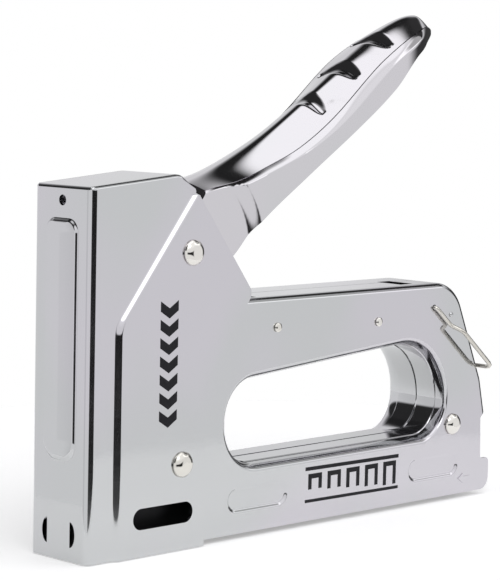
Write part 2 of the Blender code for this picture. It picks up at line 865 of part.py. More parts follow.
def driver_bumper():
    """Rubber block that stops the plunger at the end of its stroke."""
    outline = fillet([(6.0, 30.0, 1.0), (24.4, 30.0, 1.0), (24.4, 35.7, 1.5), (6.0, 35.7, 1.5)], 3)
    return side_prism("driver_bumper", outline, -9.0, 9.0, RUBBER)


def blade_guide():
    """Folded bracket behind the blade. It carries the bumper and guides the blade."""
    front = BLADE_FRONT + BLADE_THICK + GAP
    outline = [
        (front, 17.0),
        (front, 29.7),
        (26.0, 29.7),
        (26.0, 17.0),
        (24.8, 17.0),
        (24.8, 28.3),
        (front + 1.2, 28.3),
        (front + 1.2, 17.0),
    ]
    half = NOSE_HALF - NOSE_SHEET - GAP
    return side_prism("blade_guide", outline, -half, half, STEEL)


# ---------------------------------------------------------------- magazine


def trough(half, sheet, low, high, upward):
    """Outline of a U channel, open upward or downward."""
    inner = half - sheet
    if upward:
        return [
            (-half, low),
            (half, low),
            (half, high),
            (inner, high),
            (inner, low + sheet),
            (-inner, low + sheet),
            (-inner, high),
            (-half, high),
        ]
    return [
        (-half, low),
        (-inner, low),
        (-inner, high - sheet),
        (inner, high - sheet),
        (inner, low),
        (half, low),
        (half, high),
        (-half, high),
    ]


def magazine_channel():
    """Trough that holds the staple rail between the shells."""
    outline = trough(CHANNEL_HALF, CHANNEL_SHEET, CHANNEL_FOOT, CHANNEL_TOP, True)
    return front_prism("magazine_channel", outline, MAGAZINE_FRONT, MAGAZINE_REAR, STEEL)


def staple_rail():
    """Core that the staples straddle. A slot in its top lets the follower's neck through."""
    low = CHANNEL_FOOT + CHANNEL_SHEET + GAP
    outline = trough(RAIL_HALF, RAIL_SHEET, low, RAIL_TOP, False)
    rail = front_prism("staple_rail", outline, MAGAZINE_FRONT, RAIL_REAR, STEEL)
    cut(rail, box("rail_slot", (MAGAZINE_FRONT + STRIP_LENGTH, RAIL_REAR + 5), (-1.5, 1.5), (10.0, 15.0)))
    return rail


def staple_strip():
    """Glued strip of staples on the rail."""
    low = CHANNEL_FOOT + CHANNEL_SHEET + GAP
    crown = RAIL_TOP + GAP + STAPLE_WIRE
    outline = trough(STAPLE_CROWN / 2, STAPLE_WIRE, low, crown, False)
    front = BLADE_FRONT + BLADE_THICK + GAP
    return front_prism("staple_strip", outline, front, front + STRIP_LENGTH, STAPLE_STEEL)


def follower_front():
    """Where the follower's face meets the last staple."""
    return BLADE_FRONT + BLADE_THICK + STRIP_LENGTH + 2 * GAP


def staple_follower():
    """Rider that pushes the strip forward, with a neck through the rail to the rod."""
    x0 = follower_front()
    x1 = x0 + FOLLOWER_LENGTH
    low = CHANNEL_FOOT + CHANNEL_SHEET + 2 * GAP
    outline = trough(STAPLE_CROWN / 2 + 0.3, 0.7, low, RAIL_TOP + GAP + 2.0, False)
    half = STAPLE_CROWN / 2 + 0.1
    top = box("follower_top", (x0, x1), (-half, half), (RAIL_TOP + GAP, RAIL_TOP + GAP + 1.9))
    rider = front_prism("staple_follower", outline, x0, x1, STEEL)
    neck = box("follower_neck", (x0 + 4, x1 - 1), (-1.1, 1.1), (ROD_Z, RAIL_TOP + 1.0))
    block = box("follower_block", (x0 + 4, x1 - 1), (-2.8, 2.8), (ROD_Z - 2.6, ROD_Z + 2.6))
    bore = front_prism("follower_bore", circle(0.0, ROD_Z, ROD_RADIUS + GAP, 12), x0 - 5, x1 + 5)
    weld(rider, top, neck, block)
    cut(rider, bore)
    return rider


def pusher_rod():
    """Rod that the follower and its spring slide on."""
    start = follower_front() + 2.0
    outline = circle(0.0, ROD_Z, ROD_RADIUS, 12)
    return front_prism("pusher_rod", outline, start, MAGAZINE_REAR + 1.0, STEEL)


def pusher_spring():
    """Long light spring behind the follower."""
    start = follower_front() + FOLLOWER_LENGTH + GAP
    return coil("pusher_spring", start, MAGAZINE_REAR - 1.0, 2.3, 0.6, 18, "X", 9, 4)


def pusher_handle():
    """Rear finger plate of the pusher, which latches between the shells' tabs."""
    x0, x1 = MAGAZINE_REAR + GAP, BODY_END - 2.0
    outline = fillet(
        [
            (x0, CHANNEL_FOOT + 0.8, 0),
            (x1, CHANNEL_FOOT + 0.8, 3.0),
            (x1, 12.6, 2.0),
            (x1 - 3.0, 15.6, 1.5),
            (x0, 15.6, 0),
        ],
        3,
    )
    half = SHELL_HALF - SHELL_SHEET - 1.6
    handle = side_prism("pusher_handle", outline, -half, half, STEEL)
    socket = circle(0.0, ROD_Z, ROD_RADIUS + GAP, 12)
    grip_gap = box("handle_gap", (x0 + 2.2, x1 + 2.0), (-half + 2.0, half - 2.0), (4.5, 20.0))
    cut(handle, front_prism("handle_socket", socket, x0 - 5, x0 + 1.2), grip_gap)
    return handle


# ---------------------------------------------------------------- handle lock


def handle_lock_wire():
    """Bent wire that swings up over the closed lever. Its feet turn in the grip's sides."""
    along = Vector((WIRE_REACH, 0.0, -WIRE_DROP))
    reach = along.length
    along.normalize()
    surface = SHELL_HALF + WIRE_RADIUS + GAP
    half_path = [
        (0.0, SHELL_HALF - SHELL_SHEET - 1.5),
        (0.0, surface - 0.9),
        (0.9, surface),
        (9.6, surface),
        (11.2, surface + 0.8),
        (13.2, WIRE_HALF - 0.8),
        (14.8, WIRE_HALF),
        (reach - 3.0, WIRE_HALF),
        (reach - 0.9, WIRE_HALF - 0.9),
        (reach, WIRE_HALF - 3.0),
    ]
    flat = [(run, -y) for run, y in half_path] + [(run, y) for run, y in reversed(half_path)]
    path = []
    for run, y in flat:
        path.append((WIRE_PIVOT_X + along.x * run, y, WIRE_PIVOT_Z + along.z * run))
    return tube("handle_lock_wire", path, WIRE_RADIUS, STAPLE_STEEL)


def build():
    """Build every sub-part of the gun."""
    clear_scene()
    datum = bpy.data.objects.new("gun_datum", None)
    datum.location = (DATUM_X * MM, 0.0, 0.0)
    bpy.context.collection.objects.link(datum)

    nose_housing()
    body_shell("left_shell", -1)
    body_shell("right_shell", 1)
    rivet("lever_pivot_rivet", PIVOT_X, PIVOT_Z, PLATE_HALF)
    rivet("nose_rivet", NOSE_RIVET_X, NOSE_RIVET_Z, PLATE_HALF)
    rivet("rear_rivet", REAR_RIVET_X, REAR_RIVET_Z, SHELL_HALF, head=3.9, dome=1.9)
    wall = SHELL_HALF - SHELL_SHEET - GAP
    spacer("nose_spacer", NOSE_RIVET_X, NOSE_RIVET_Z, wall, RIVET_SHANK + GAP, RIVET_SHANK + 1.7)
    clear_of_lip = wall - HAND_LIP_DEPTH
    spacer("rear_spacer", REAR_RIVET_X, REAR_RIVET_Z, clear_of_lip, RIVET_SHANK + GAP, RIVET_SHANK + 1.3)
    for name, (x, z) in zip(("grip_pin_front", "grip_pin_rear"), GRIP_PINS):
        rivet(name, x, z, SHELL_HALF, NICKEL, PIN_SHANK, PIN_HEAD, 0.5)

    lever()
    lifting_fork()
    fork_rivet("fork_rivet_left", -1)
    fork_rivet("fork_rivet_right", 1)
    bush = FORK_OUTER - FORK_SHEET - GAP
    spacer("pivot_bush", PIVOT_X, PIVOT_Z, bush, RIVET_SHANK + GAP, RIVET_SHANK + 1.7)

    plunger_yoke()
    driver_blade()
    power_spring()
    spring_cap()
    driver_bumper()
    blade_guide()

    magazine_channel()
    staple_rail()
    staple_strip()
    staple_follower()
    pusher_rod()
    pusher_spring()
    pusher_handle()
    handle_lock_wire()


build()
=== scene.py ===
# %% [markdown]
# # A chrome staple gun
# This lesson dresses a packed, jointed staple gun. The frame below already holds every sub-part at
# its real size, on the body that it moves with. We replace the pressed sheets, rivets, wire and
# staples with finer ones, add the printed marks, and give each metal its own finish.

# %% Load the frame
import math

import bmesh
import bpy
from mathutils import Matrix, Vector


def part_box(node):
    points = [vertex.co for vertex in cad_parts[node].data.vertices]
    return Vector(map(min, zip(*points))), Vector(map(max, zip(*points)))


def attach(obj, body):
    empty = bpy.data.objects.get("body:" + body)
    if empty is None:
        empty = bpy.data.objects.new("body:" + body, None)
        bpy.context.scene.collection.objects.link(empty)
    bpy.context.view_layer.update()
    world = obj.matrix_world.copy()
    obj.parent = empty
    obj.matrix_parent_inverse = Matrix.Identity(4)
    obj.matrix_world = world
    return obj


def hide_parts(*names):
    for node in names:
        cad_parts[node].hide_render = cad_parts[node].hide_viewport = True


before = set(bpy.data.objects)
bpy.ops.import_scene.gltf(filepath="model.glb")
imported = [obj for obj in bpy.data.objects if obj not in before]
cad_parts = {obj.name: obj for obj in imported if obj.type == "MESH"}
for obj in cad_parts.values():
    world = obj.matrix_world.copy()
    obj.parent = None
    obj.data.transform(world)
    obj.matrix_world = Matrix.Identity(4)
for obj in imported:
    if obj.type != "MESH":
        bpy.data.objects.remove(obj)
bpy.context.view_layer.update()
MM = 0.001

# %% [markdown]
# The gun's own datum is the front face of its nose. Reading it from the frame means that every
# length below can be a plain millimetre measured rearward from that face.

# %% Datum and main sizes
RIB_HEIGHT = 1.3
FRONT_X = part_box("nose_housing")[0][0] / MM + RIB_HEIGHT
PLATE_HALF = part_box("nose_housing")[1][1] / MM
SHELL_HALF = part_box("left_shell")[0][1] / MM * -1.0
NOSE_HALF = 13.9
NOSE_SHEET = 1.1
SHELL_SHEET = 1.1
LEVER_SHEET = 1.2
LEVER_HALF = 15.5
NARROW_HALF = PLATE_HALF - NOSE_SHEET - 0.4
GAP = 0.3
GRIP_TOP = 79.8
BODY_END = 196.8
BODY_FOOT = 1.5
PIVOT = (42.0, 96.3)
NOSE_RIVET = (38.8, 28.0)
REAR_RIVET = (175.2, 27.7)
GRIP_PINS = ((82.7, 69.4), (133.2, 68.0))
WIRE_PIVOT = (163.2, 71.2)
RIVET_HOLE = 2.8
print("front face at x =", round(FRONT_X, 2), "mm; cheeks are", PLATE_HALF, "mm from the middle")


def place(x, y, z):
    """Turn gun millimetres into scene metres."""
    return Vector(((x + FRONT_X) * MM, y * MM, z * MM))


# %% [markdown]
# ## Camera
# A long lens about 0.7 m away looks a little down on the front left corner. It could be aimed with a
# Track To constraint, but a matrix built from yaw, pitch and roll also allows the small roll.

# %% Camera
LENS = 138.04
YAW_PITCH_ROLL = (44.95, 5.66, 1.26)
CAMERA_SPOT = (-445.99, -530.0, 154.97)


def aim_camera():
    """Stand the camera off the gun's front left corner."""
    data = bpy.data.cameras.new("camera")
    data.sensor_width = 36.0
    data.lens = LENS
    data.clip_start = 0.01
    camera = bpy.data.objects.new("camera", data)
    bpy.context.collection.objects.link(camera)
    yaw, pitch, roll = (math.radians(angle) for angle in YAW_PITCH_ROLL)
    ahead = Vector((math.sin(yaw) * math.cos(pitch), math.cos(yaw) * math.cos(pitch), -math.sin(pitch)))
    right = Vector((math.cos(yaw), -math.sin(yaw), 0.0))
    up = right.cross(ahead)
    tilted_right = right * math.cos(roll) + up * math.sin(roll)
    tilted_up = up * math.cos(roll) - right * math.sin(roll)
    turn = Matrix((tilted_right, tilted_up, -ahead)).transposed()
    camera.matrix_world = Matrix.Translation(place(*CAMERA_SPOT)) @ turn.to_4x4()
    bpy.context.scene.camera = camera
    return camera


camera = aim_camera()
print("camera is", round(camera.location.length, 3), "m from the datum")


# %% [markdown]
# ## Studio
# Chrome has no colour of its own, so the studio is the picture. Real sets use a white tent with dark
# cards hung in it, and each bend of the metal mirrors them as a crisp dark line. The cards could be
# planes, but as soft patches on the sky they cast no shadow and never come into view.

# %% Cards on the sky
def node(tree, kind, **values):
    """Add a shader node and set its inputs by name or number."""
    made = tree.nodes.new(kind)
    for key, value in values.items():
        if key.startswith("in_"):
            made.inputs[int(key[3:])].default_value = value
        else:
            setattr(made, key, value)
    return made


def fade(tree, value, low, high):
    """Ease a value from 0 at low to 1 at high."""
    made = node(tree, "ShaderNodeMapRange", interpolation_type="SMOOTHSTEP", in_1=low, in_2=high)
    tree.links.new(value, made.inputs[0])
    return made.outputs[0]


def card(tree, direction, heading, spread, low, high):
    """A soft-edged card in the studio, by heading and by height above the horizon, all in degrees."""
    flat = node(tree, "ShaderNodeVectorMath", operation="MULTIPLY", in_1=(1.0, 1.0, 0.0))
    tree.links.new(direction, flat.inputs[0])
    level = node(tree, "ShaderNodeVectorMath", operation="NORMALIZE")
    tree.links.new(flat.outputs[0], level.inputs[0])
    turn = math.radians(heading)
    toward = (math.cos(turn), math.sin(turn), 0)
    facing = node(tree, "ShaderNodeVectorMath", operation="DOT_PRODUCT", in_1=toward)
    tree.links.new(level.outputs[0], facing.inputs[0])
    parts = node(tree, "ShaderNodeSeparateXYZ")
    tree.links.new(direction, parts.inputs[0])
    edges = [math.cos(math.radians(angle)) for angle in spread]
    shape = fade(tree, facing.outputs["Value"], *edges)
    for limits in (low, high):
        bounds = [math.sin(math.radians(angle)) for angle in limits]
        both = node(tree, "ShaderNodeMath", operation="MULTIPLY")
        tree.links.new(shape, both.inputs[0])
        tree.links.new(fade(tree, parts.outputs[2], *bounds), both.inputs[1])
        shape = both.outputs[0]
    return shape


print("card helper is ready")

# %% [markdown]
# Each card is one row: its heading, how far it spreads and fades to the sides, where it fades in above
# the lower limit and out below the upper one, all in degrees, and its brightness. A later card
# covers an earlier one. The rows are, in order: ceiling, near wall, the dark card around the camera,
# the far wall for the roofs, then dark cards for the lever's crown, the rear bends, the grip's top
# bend and the finger scoops, a pale one in front of the nose, and one for edges seen edge-on.

# %% Sky tent
TENT_LEVEL = 0.93
ALL_ROUND = (180, 179)
BELOW = (-90, -89)
ABOVE = (90, 89)
STUDIO_CARDS = (
    (0, ALL_ROUND, (60, 68), ABOVE, 1.4),
    (-75, (112, 88), (14, 34), (66, 58), 1.1),
    (-101, (43, 35), (-15, -11), (3, -1), 0.02),
    (45, (70, 45), (-2, 8), (34, 20), 0.8),
    (62, (76, 54), (26, 47), (67, 58), 0.02),
    (8, (36, 22), (-14, -6), (30, 14), 0.05),
    (-6, (40, 26), (26, 32), (60, 50), 0.04),
    (152, (60, 46), (11, 18), (66, 50), 0.03),
    (150, (16, 9), BELOW, (20, 10), 0.78),
    (45, (24, 12), (-16, -11), (2, -3), 0.05),
)


def light_studio():
    """Build the tent as a world, with its cards."""
    scene = bpy.context.scene
    world = bpy.data.worlds.new("studio")
    scene.world = world
    world.use_nodes = True
    tree = world.node_tree
    tree.nodes.clear()
    direction = tree.nodes.new("ShaderNodeTexCoord").outputs["Generated"]
    level = None
    for heading, spread, low, high, value in STUDIO_CARDS:
        shape = card(tree, direction, heading, spread, low, high)
        mix = node(tree, "ShaderNodeMix", data_type="FLOAT", in_3=value)
        tree.links.new(shape, mix.inputs[0])
        if level is None:
            mix.inputs[2].default_value = TENT_LEVEL
        else:
            tree.links.new(level, mix.inputs[2])
        level = mix.outputs[0]
    tint = node(tree, "ShaderNodeCombineColor")
    for channel, share in enumerate((1.0, 1.0, 1.015)):
        scale = node(tree, "ShaderNodeMath", operation="MULTIPLY", in_1=share)
        tree.links.new(level, scale.inputs[0])
        tree.links.new(scale.outputs[0], tint.inputs[channel])
    tent = node(tree, "ShaderNodeBackground")
    tree.links.new(tint.outputs[0], tent.inputs[0])
    white = node(tree, "ShaderNodeBackground", in_0=(1.0, 1.0, 1.0, 1.0), in_1=1.0)
    rays = tree.nodes.new("ShaderNodeLightPath")
    choose = tree.nodes.new("ShaderNodeMixShader")
    tree.links.new(rays.outputs["Is Camera Ray"], choose.inputs[0])
    tree.links.new(tent.outputs[0], choose.inputs[1])
    tree.links.new(white.outputs[0], choose.inputs[2])
    out = tree.nodes.new("ShaderNodeOutputWorld")
    tree.links.new(choose.outputs[0], out.inputs[0])
    scene.view_settings.view_transform = "Standard"


light_studio()
print("sky tent with", len(STUDIO_CARDS), "cards")

# %% [markdown]
# The floor is a small pale disc that only has to catch the contact shadow. A large one would be
# mirrored in the lower bends and wash out their dark lines. It glows a little, so the shadow stays
# faint. Two large area lights stand in for soft boxes.

# %% Floor and lamps
FLOOR_RADIUS = 0.21
FLOOR_SPOT = (0.05, 0.05, -0.0004)
FLOOR_GLOW = 0.35
AIM = Vector((0.0, 0.0, 0.08))


def make_floor():
    """Lay the plain pale floor just under the gun."""
    mesh = bpy.data.meshes.new("floor")
    bm = bmesh.new()
    bmesh.ops.create_circle(bm, cap_ends=True, radius=FLOOR_RADIUS, segments=96)
    bm.to_mesh(mesh)
    bm.free()
    floor = bpy.data.objects.new("floor", mesh)
    floor.location = FLOOR_SPOT
    bpy.context.collection.objects.link(floor)
    paint = bpy.data.materials.new("floor_white")
    paint.use_nodes = True
    shader = paint.node_tree.nodes["Principled BSDF"]
    shader.inputs["Base Color"].default_value = (0.88, 0.88, 0.88, 1.0)
    shader.inputs["Roughness"].default_value = 0.9
    shader.inputs["Specular IOR Level"].default_value = 0.1
    shader.inputs["Emission Color"].default_value = (1.0, 1.0, 1.0, 1.0)
    shader.inputs["Emission Strength"].default_value = FLOOR_GLOW
    mesh.materials.append(paint)
    return floor


def soft_light(name, spot, size, power):
    """Add one large area light that looks at the gun."""
    data = bpy.data.lights.new(name, "AREA")
    data.shape = "DISK"
    data.size = size
    data.energy = power
    lamp = bpy.data.objects.new(name, data)
    lamp.location = spot
    lamp.rotation_euler = (AIM - Vector(spot)).to_track_quat("-Z", "Y").to_euler()
    bpy.context.collection.objects.link(lamp)


make_floor()
soft_light("key", (-0.9, -1.2, 1.7), 1.2, 4.0)
soft_light("fill", (1.3, -0.9, 1.4), 1.4, 2.5)
print("floor is", 2 * FLOOR_RADIUS, "m across")


# %% [markdown]
# ## Finishes
# Three shader groups are shared by the metals. `sheet_ripple` bends the normal by a hair, as rolled
# sheet does under plating. `handling_haze` clouds the polish in soft patches and adds fine wiping
# marks. `plating_tint` drifts the plate's colour between a cool and a faintly violet grey.

# %% Shared shader groups
def start_group(name, inputs, outputs):
    """Open a shader group with named float inputs and typed outputs."""
    group = bpy.data.node_groups.new(name, "ShaderNodeTree")
    for label, value in inputs:
        socket = group.interface.new_socket(label, in_out="INPUT", socket_type="NodeSocketFloat")
        socket.default_value = value
    for label, kind in outputs:
        group.interface.new_socket(label, in_out="OUTPUT", socket_type=kind)
    enter = group.nodes.new("NodeGroupInput")
    leave = group.nodes.new("NodeGroupOutput")
    place_on = group.nodes.new("ShaderNodeTexCoord").outputs["Object"]
    return group, enter, leave, place_on


def noise(group, where, scale, detail=2.0, stretch=None):
    """Noise on object coordinates, with an optional stretch along the axes."""
    if stretch:
        mapping = group.nodes.new("ShaderNodeMapping")
        mapping.inputs["Scale"].default_value = stretch
        group.links.new(where, mapping.inputs["Vector"])
        where = mapping.outputs["Vector"]
    made = group.nodes.new("ShaderNodeTexNoise")
    made.inputs["Scale"].default_value = scale
    made.inputs["Detail"].default_value = detail
    group.links.new(where, made.inputs["Vector"])
    return made.outputs["Fac"]


def build_ripple():
    """Normal of slightly wavy rolled sheet."""
    outputs = [("Normal", "NodeSocketVector")]
    group, enter, leave, where = start_group("sheet_ripple", [("Strength", 0.1), ("Depth", 0.0002)], outputs)
    bump = group.nodes.new("ShaderNodeBump")
    group.links.new(noise(group, where, 28.0, 1.0), bump.inputs["Height"])
    group.links.new(enter.outputs["Strength"], bump.inputs["Strength"])
    group.links.new(enter.outputs["Depth"], bump.inputs["Distance"])
    group.links.new(bump.outputs["Normal"], leave.inputs["Normal"])
    return group


def build_haze():
    """Roughness of polished metal that has been handled and wiped."""
    outputs = [("Roughness", "NodeSocketFloat")]
    inputs = [("Polish", 0.08), ("Haze", 0.08), ("Wiping", 0.03)]
    group, enter, leave, where = start_group("handling_haze", inputs, outputs)
    patches = node(group, "ShaderNodeMapRange", in_1=0.42, in_2=0.72)
    group.links.new(noise(group, where, 34.0, 3.0), patches.inputs[0])
    wiping = node(group, "ShaderNodeMapRange", in_1=0.5, in_2=0.8)
    group.links.new(noise(group, where, 90.0, 2.0, (1.0, 1.0, 9.0)), wiping.inputs[0])
    total = enter.outputs["Polish"]
    for mask, amount in ((patches, "Haze"), (wiping, "Wiping")):
        share = node(group, "ShaderNodeMath", operation="MULTIPLY")
        group.links.new(mask.outputs[0], share.inputs[0])
        group.links.new(enter.outputs[amount], share.inputs[1])
        add = node(group, "ShaderNodeMath", operation="ADD")
        group.links.new(total, add.inputs[0])
        group.links.new(share.outputs[0], add.inputs[1])
        total = add.outputs[0]
    group.links.new(total, leave.inputs["Roughness"])
    return group


def build_tint():
    """Colour of a plating that drifts between two greys in broad soft patches."""
    group, enter, leave, where = start_group("plating_tint", [("Drift", 1.0)], [("Color", "NodeSocketColor")])
    for label, value in (("Cool", (0.75, 0.77, 0.77, 1)), ("Violet", (0.78, 0.76, 0.80, 1))):
        socket = group.interface.new_socket(label, in_out="INPUT", socket_type="NodeSocketColor")
        socket.default_value = value
    drift = node(group, "ShaderNodeMapRange", in_1=0.40, in_2=0.62, interpolation_type="SMOOTHSTEP")
    group.links.new(noise(group, where, 16.0, 1.5), drift.inputs[0])
    scaled = node(group, "ShaderNodeMath", operation="MULTIPLY")
    group.links.new(drift.outputs[0], scaled.inputs[0])
    group.links.new(enter.outputs["Drift"], scaled.inputs[1])
    mix = node(group, "ShaderNodeMix", data_type="RGBA")
    group.links.new(scaled.outputs[0], mix.inputs[0])
    group.links.new(enter.outputs["Cool"], mix.inputs[6])
    group.links.new(enter.outputs["Violet"], mix.inputs[7])
    group.links.new(mix.outputs[2], leave.inputs["Color"])
    return group


RIPPLE, HAZE, TINT = build_ripple(), build_haze(), build_tint()
print("shader groups:", RIPPLE.name, HAZE.name, TINT.name)


# %% [markdown]
# Each metal then differs only in its numbers: how clean its polish is, how wavy its sheet, and which
# two colours its surface drifts between.

# %% Metals
def metal(name, cool, violet, polish, haze, wiping, ripple, depth=0.0002):
    """Make a metal from the shared groups."""
    made = bpy.data.materials.new(name)
    made.use_nodes = True
    tree = made.node_tree
    shader = tree.nodes["Principled BSDF"]
    shader.inputs["Metallic"].default_value = 1.0
    for group, values, outlet, inlet in (
        (TINT, {"Cool": (*cool, 1.0), "Violet": (*violet, 1.0)}, "Color", "Base Color"),
        (HAZE, {"Polish": polish, "Haze": haze, "Wiping": wiping}, "Roughness", "Roughness"),
        (RIPPLE, {"Strength": ripple, "Depth": depth}, "Normal", "Normal"),
    ):
        user = tree.nodes.new("ShaderNodeGroup")
        user.node_tree = group
        for label, value in values.items():
            user.inputs[label].default_value = value
        tree.links.new(user.outputs[outlet], shader.inputs[inlet])
    return made


CHROME = metal("bright_chrome", (0.57, 0.58, 0.585), (0.60, 0.585, 0.62), 0.07, 0.05, 0.02, 0.05)
LEVER_CHROME = metal("lever_chrome", (0.60, 0.61, 0.615), (0.63, 0.615, 0.64), 0.06, 0.04, 0.02, 0.04)
NICKEL = metal("warm_nickel", (0.72, 0.70, 0.65), (0.77, 0.75, 0.71), 0.06, 0.05, 0.03, 0.10)
WIRE = metal("zinc_wire", (0.60, 0.58, 0.53), (0.68, 0.66, 0.62), 0.20, 0.10, 0.08, 0.10)
STEEL = metal("plain_steel", (0.22, 0.22, 0.23), (0.30, 0.29, 0.30), 0.34, 0.15, 0.10, 0.20)
BLUED = metal("blued_spring_steel", (0.07, 0.07, 0.08), (0.12, 0.11, 0.12), 0.30, 0.12, 0.05, 0.10)
# The two guides behind the window are painted near black: painted shade for the dark depths there.
WINDOW_DEPTH_SHADE = metal("painted_window_shade", (0.02, 0.02, 0.021), (0.035, 0.03, 0.035), 0.38, 0.10, 0.05, 0.10)
STAPLES = metal("galvanised_staples", (0.50, 0.51, 0.52), (0.58, 0.57, 0.58), 0.28, 0.10, 0.10, 0.10)
print("metals:", len(bpy.data.materials))

# %% [markdown]
# Ink and rubber don't mirror. A plain dark colour would look like a hole, so a fine mottle varies
# the colour and lifts the normal a hair.

# %% Ink and rubber
def coating(name, colour, rough, grain):
    """Make a matt ink or rubber with a fine mottled surface."""
    made = bpy.data.materials.new(name)
    made.use_nodes = True
    tree = made.node_tree
    shader = tree.nodes["Principled BSDF"]
    where = tree.nodes.new("ShaderNodeTexCoord").outputs["Object"]
    mottle = noise(tree, where, grain, 3.0)
    mix = node(tree, "ShaderNodeMix", data_type="RGBA")
    tree.links.new(mottle, mix.inputs[0])
    mix.inputs[6].default_value = (*colour, 1.0)
    mix.inputs[7].default_value = (*(c * 1.8 + 0.004 for c in colour), 1.0)
    tree.links.new(mix.outputs[2], shader.inputs["Base Color"])
    shader.inputs["Roughness"].default_value = rough
    shader.inputs["Specular IOR Level"].default_value = 0.15
    bump = tree.nodes.new("ShaderNodeBump")
    bump.inputs["Strength"].default_value = 0.2
    bump.inputs["Distance"].default_value = 0.00005
    tree.links.new(mottle, bump.inputs["Height"])
    tree.links.new(bump.outputs["Normal"], shader.inputs["Normal"])
    return made


INK = coating("black_ink", (0.006, 0.006, 0.008), 0.45, 900.0)
RUBBER = coating("black_rubber", (0.03, 0.03, 0.033), 0.8, 600.0)
print("materials:", len(bpy.data.materials))


# %% [markdown]
# ## Modelling helpers
# Pressed metal is all outlines with rounded corners. An outline could be drawn as a curve object,
# but a list of points that is filleted by formula can be shifted and shrunk as well.

# %% Outlines
def fillet(corners, segments=10):
    """Round the corners (a, b, radius) of a closed outline with arcs."""
    points = []
    count = len(corners)
    for i, (a, b, radius) in enumerate(corners):
        here = Vector((a, b))
        if radius <= 0:
            points.append((a, b))
            continue
        before = (Vector(corners[i - 1][:2]) - here).normalized()
        after = (Vector(corners[(i + 1) % count][:2]) - here).normalized()
        half = before.angle(after) / 2
        reach = radius / math.tan(half)
        centre = here + (before + after).normalized() * (radius / math.sin(half))
        start = here + before * reach - centre
        sweep = start.angle_signed(here + after * reach - centre)
        for k in range(segments + 1):
            turned = start.copy()
            turned.rotate(Matrix.Rotation(-sweep * k / segments, 2))
            points.append(tuple(centre + turned))
    return points


def side_ring(outline, y):
    """Place an (x, z) outline at a distance y from the mid-plane."""
    return [(x, y, z) for x, z in outline]


def front_ring(outline, x):
    """Place a (y, z) outline at a distance x behind the front face."""
    return [(x, y, z) for y, z in outline]


def circle(a, b, radius, sides=48):
    """Give the points of a circle."""
    turns = [2 * math.pi * k / sides for k in range(sides)]
    return [(a + radius * math.cos(t), b + radius * math.sin(t)) for t in turns]


def ease(share):
    """Rise from 0 to 1 with level ends."""
    return share * share * (3.0 - 2.0 * share)


print("a circle has", len(circle(0.0, 0.0, 1.0)), "points")

# %% [markdown]
# Outlines become solids by joining rings of equally many points. A prism, a box, a turned rivet and
# a pressed rib are all the same loft with different rings.

# %% Solids
def new_object(name, bm, material=None):
    """Turn a bmesh into an object at the origin."""
    mesh = bpy.data.meshes.new(name)
    bm.to_mesh(mesh)
    bm.free()
    obj = bpy.data.objects.new(name, mesh)
    bpy.context.collection.objects.link(obj)
    if material:
        mesh.materials.append(material)
    return obj


def loft(name, rings, material=None):
    """Join rings of equally many points and close both ends."""
    bm = bmesh.new()
    loops = [[bm.verts.new(place(*point)) for point in ring] for ring in rings]
    bm.faces.new(loops[0])
    bm.faces.new(loops[-1])
    for first, second in zip(loops, loops[1:]):
        for i in range(len(first)):
            j = (i + 1) % len(first)
            bm.faces.new([first[i], first[j], second[j], second[i]])
    bmesh.ops.recalc_face_normals(bm, faces=bm.faces[:])
    return new_object(name, bm, material)


def side_prism(name, outline, y0, y1, material=None):
    """Extrude an (x, z) outline across the gun."""
    return loft(name, [side_ring(outline, y0), side_ring(outline, y1)], material)


def front_prism(name, outline, x0, x1, material=None):
    """Extrude a (y, z) outline along the gun."""
    return loft(name, [front_ring(outline, x0), front_ring(outline, x1)], material)


def box(name, x, y, z):
    """Make a box from its three spans."""
    return side_prism(name, [(x[0], z[0]), (x[1], z[0]), (x[1], z[1]), (x[0], z[1])], y[0], y[1])


def cross_bar(name, spot, profile, material=None, sides=48):
    """Turn a (y, radius) profile about a line across the gun."""
    rings = [side_ring(circle(*spot, radius, sides), y) for y, radius in profile]
    return loft(name, rings, material)


def drill(name, spot, radius):
    """Make a drill through both sides."""
    return cross_bar(name, spot, [(-20.0, radius), (20.0, radius)])


print("solids are lofts of", MM, "m units")

# %% [markdown]
# Holes are cut with exact booleans, one tool after the other, and each result is settled into a plain
# mesh. Weighted normals then keep the flat faces flat next to the smooth bends, which matters more on
# chrome than on any other finish.

# %% Cutting and finishing
def carve(target, tools, operation="DIFFERENCE"):
    """Apply exact booleans in order, then throw the tools away."""
    for tool in tools:
        modifier = target.modifiers.new("carve", "BOOLEAN")
        modifier.operation = operation
        modifier.solver = "EXACT"
        modifier.object = tool
        settle(target)
        bpy.data.objects.remove(tool, do_unlink=True)


def settle(obj):
    """Replace an object's mesh with what its modifiers make."""
    graph = bpy.context.evaluated_depsgraph_get()
    graph.update()
    made = bpy.data.meshes.new_from_object(obj.evaluated_get(graph))
    obj.modifiers.clear()
    old = obj.data
    made.name = old.name
    obj.data = made
    bpy.data.meshes.remove(old)


def polish(obj, angle=32.0):
    """Shade smooth, keep sharp edges sharp and flat faces flat."""
    obj.data.shade_smooth()
    obj.data.set_sharp_from_angle(angle=math.radians(angle))
    weigh = obj.modifiers.new("flat_faces", "WEIGHTED_NORMAL")
    weigh.keep_sharp = True
    weigh.weight = 100
    settle(obj)
    return obj


print("cutting and finishing helpers are ready")

# %% [markdown]
# ## Nose cover
# The real cover is one folded sheet. Its front carries a pressed rib, its rear half steps outward to
# lap over the body, and the step runs straight up and then leans back. The step is made by joining
# rings that ease from the narrow side to the raised cheek, so that it catches a clean highlight.

# %% Nose outlines
NOSE_BACK = 49.2
CHEEK_FRONT = 12.4
CHEEK_BEND = 74.5
CHEEK_SLOPE = 0.797
STEP_RUN = 2.2
STEP_LEVELS = 8


def nose_top(x):
    """Height of the nose roof."""
    return 118.0 + 3.2 * x / 34.4


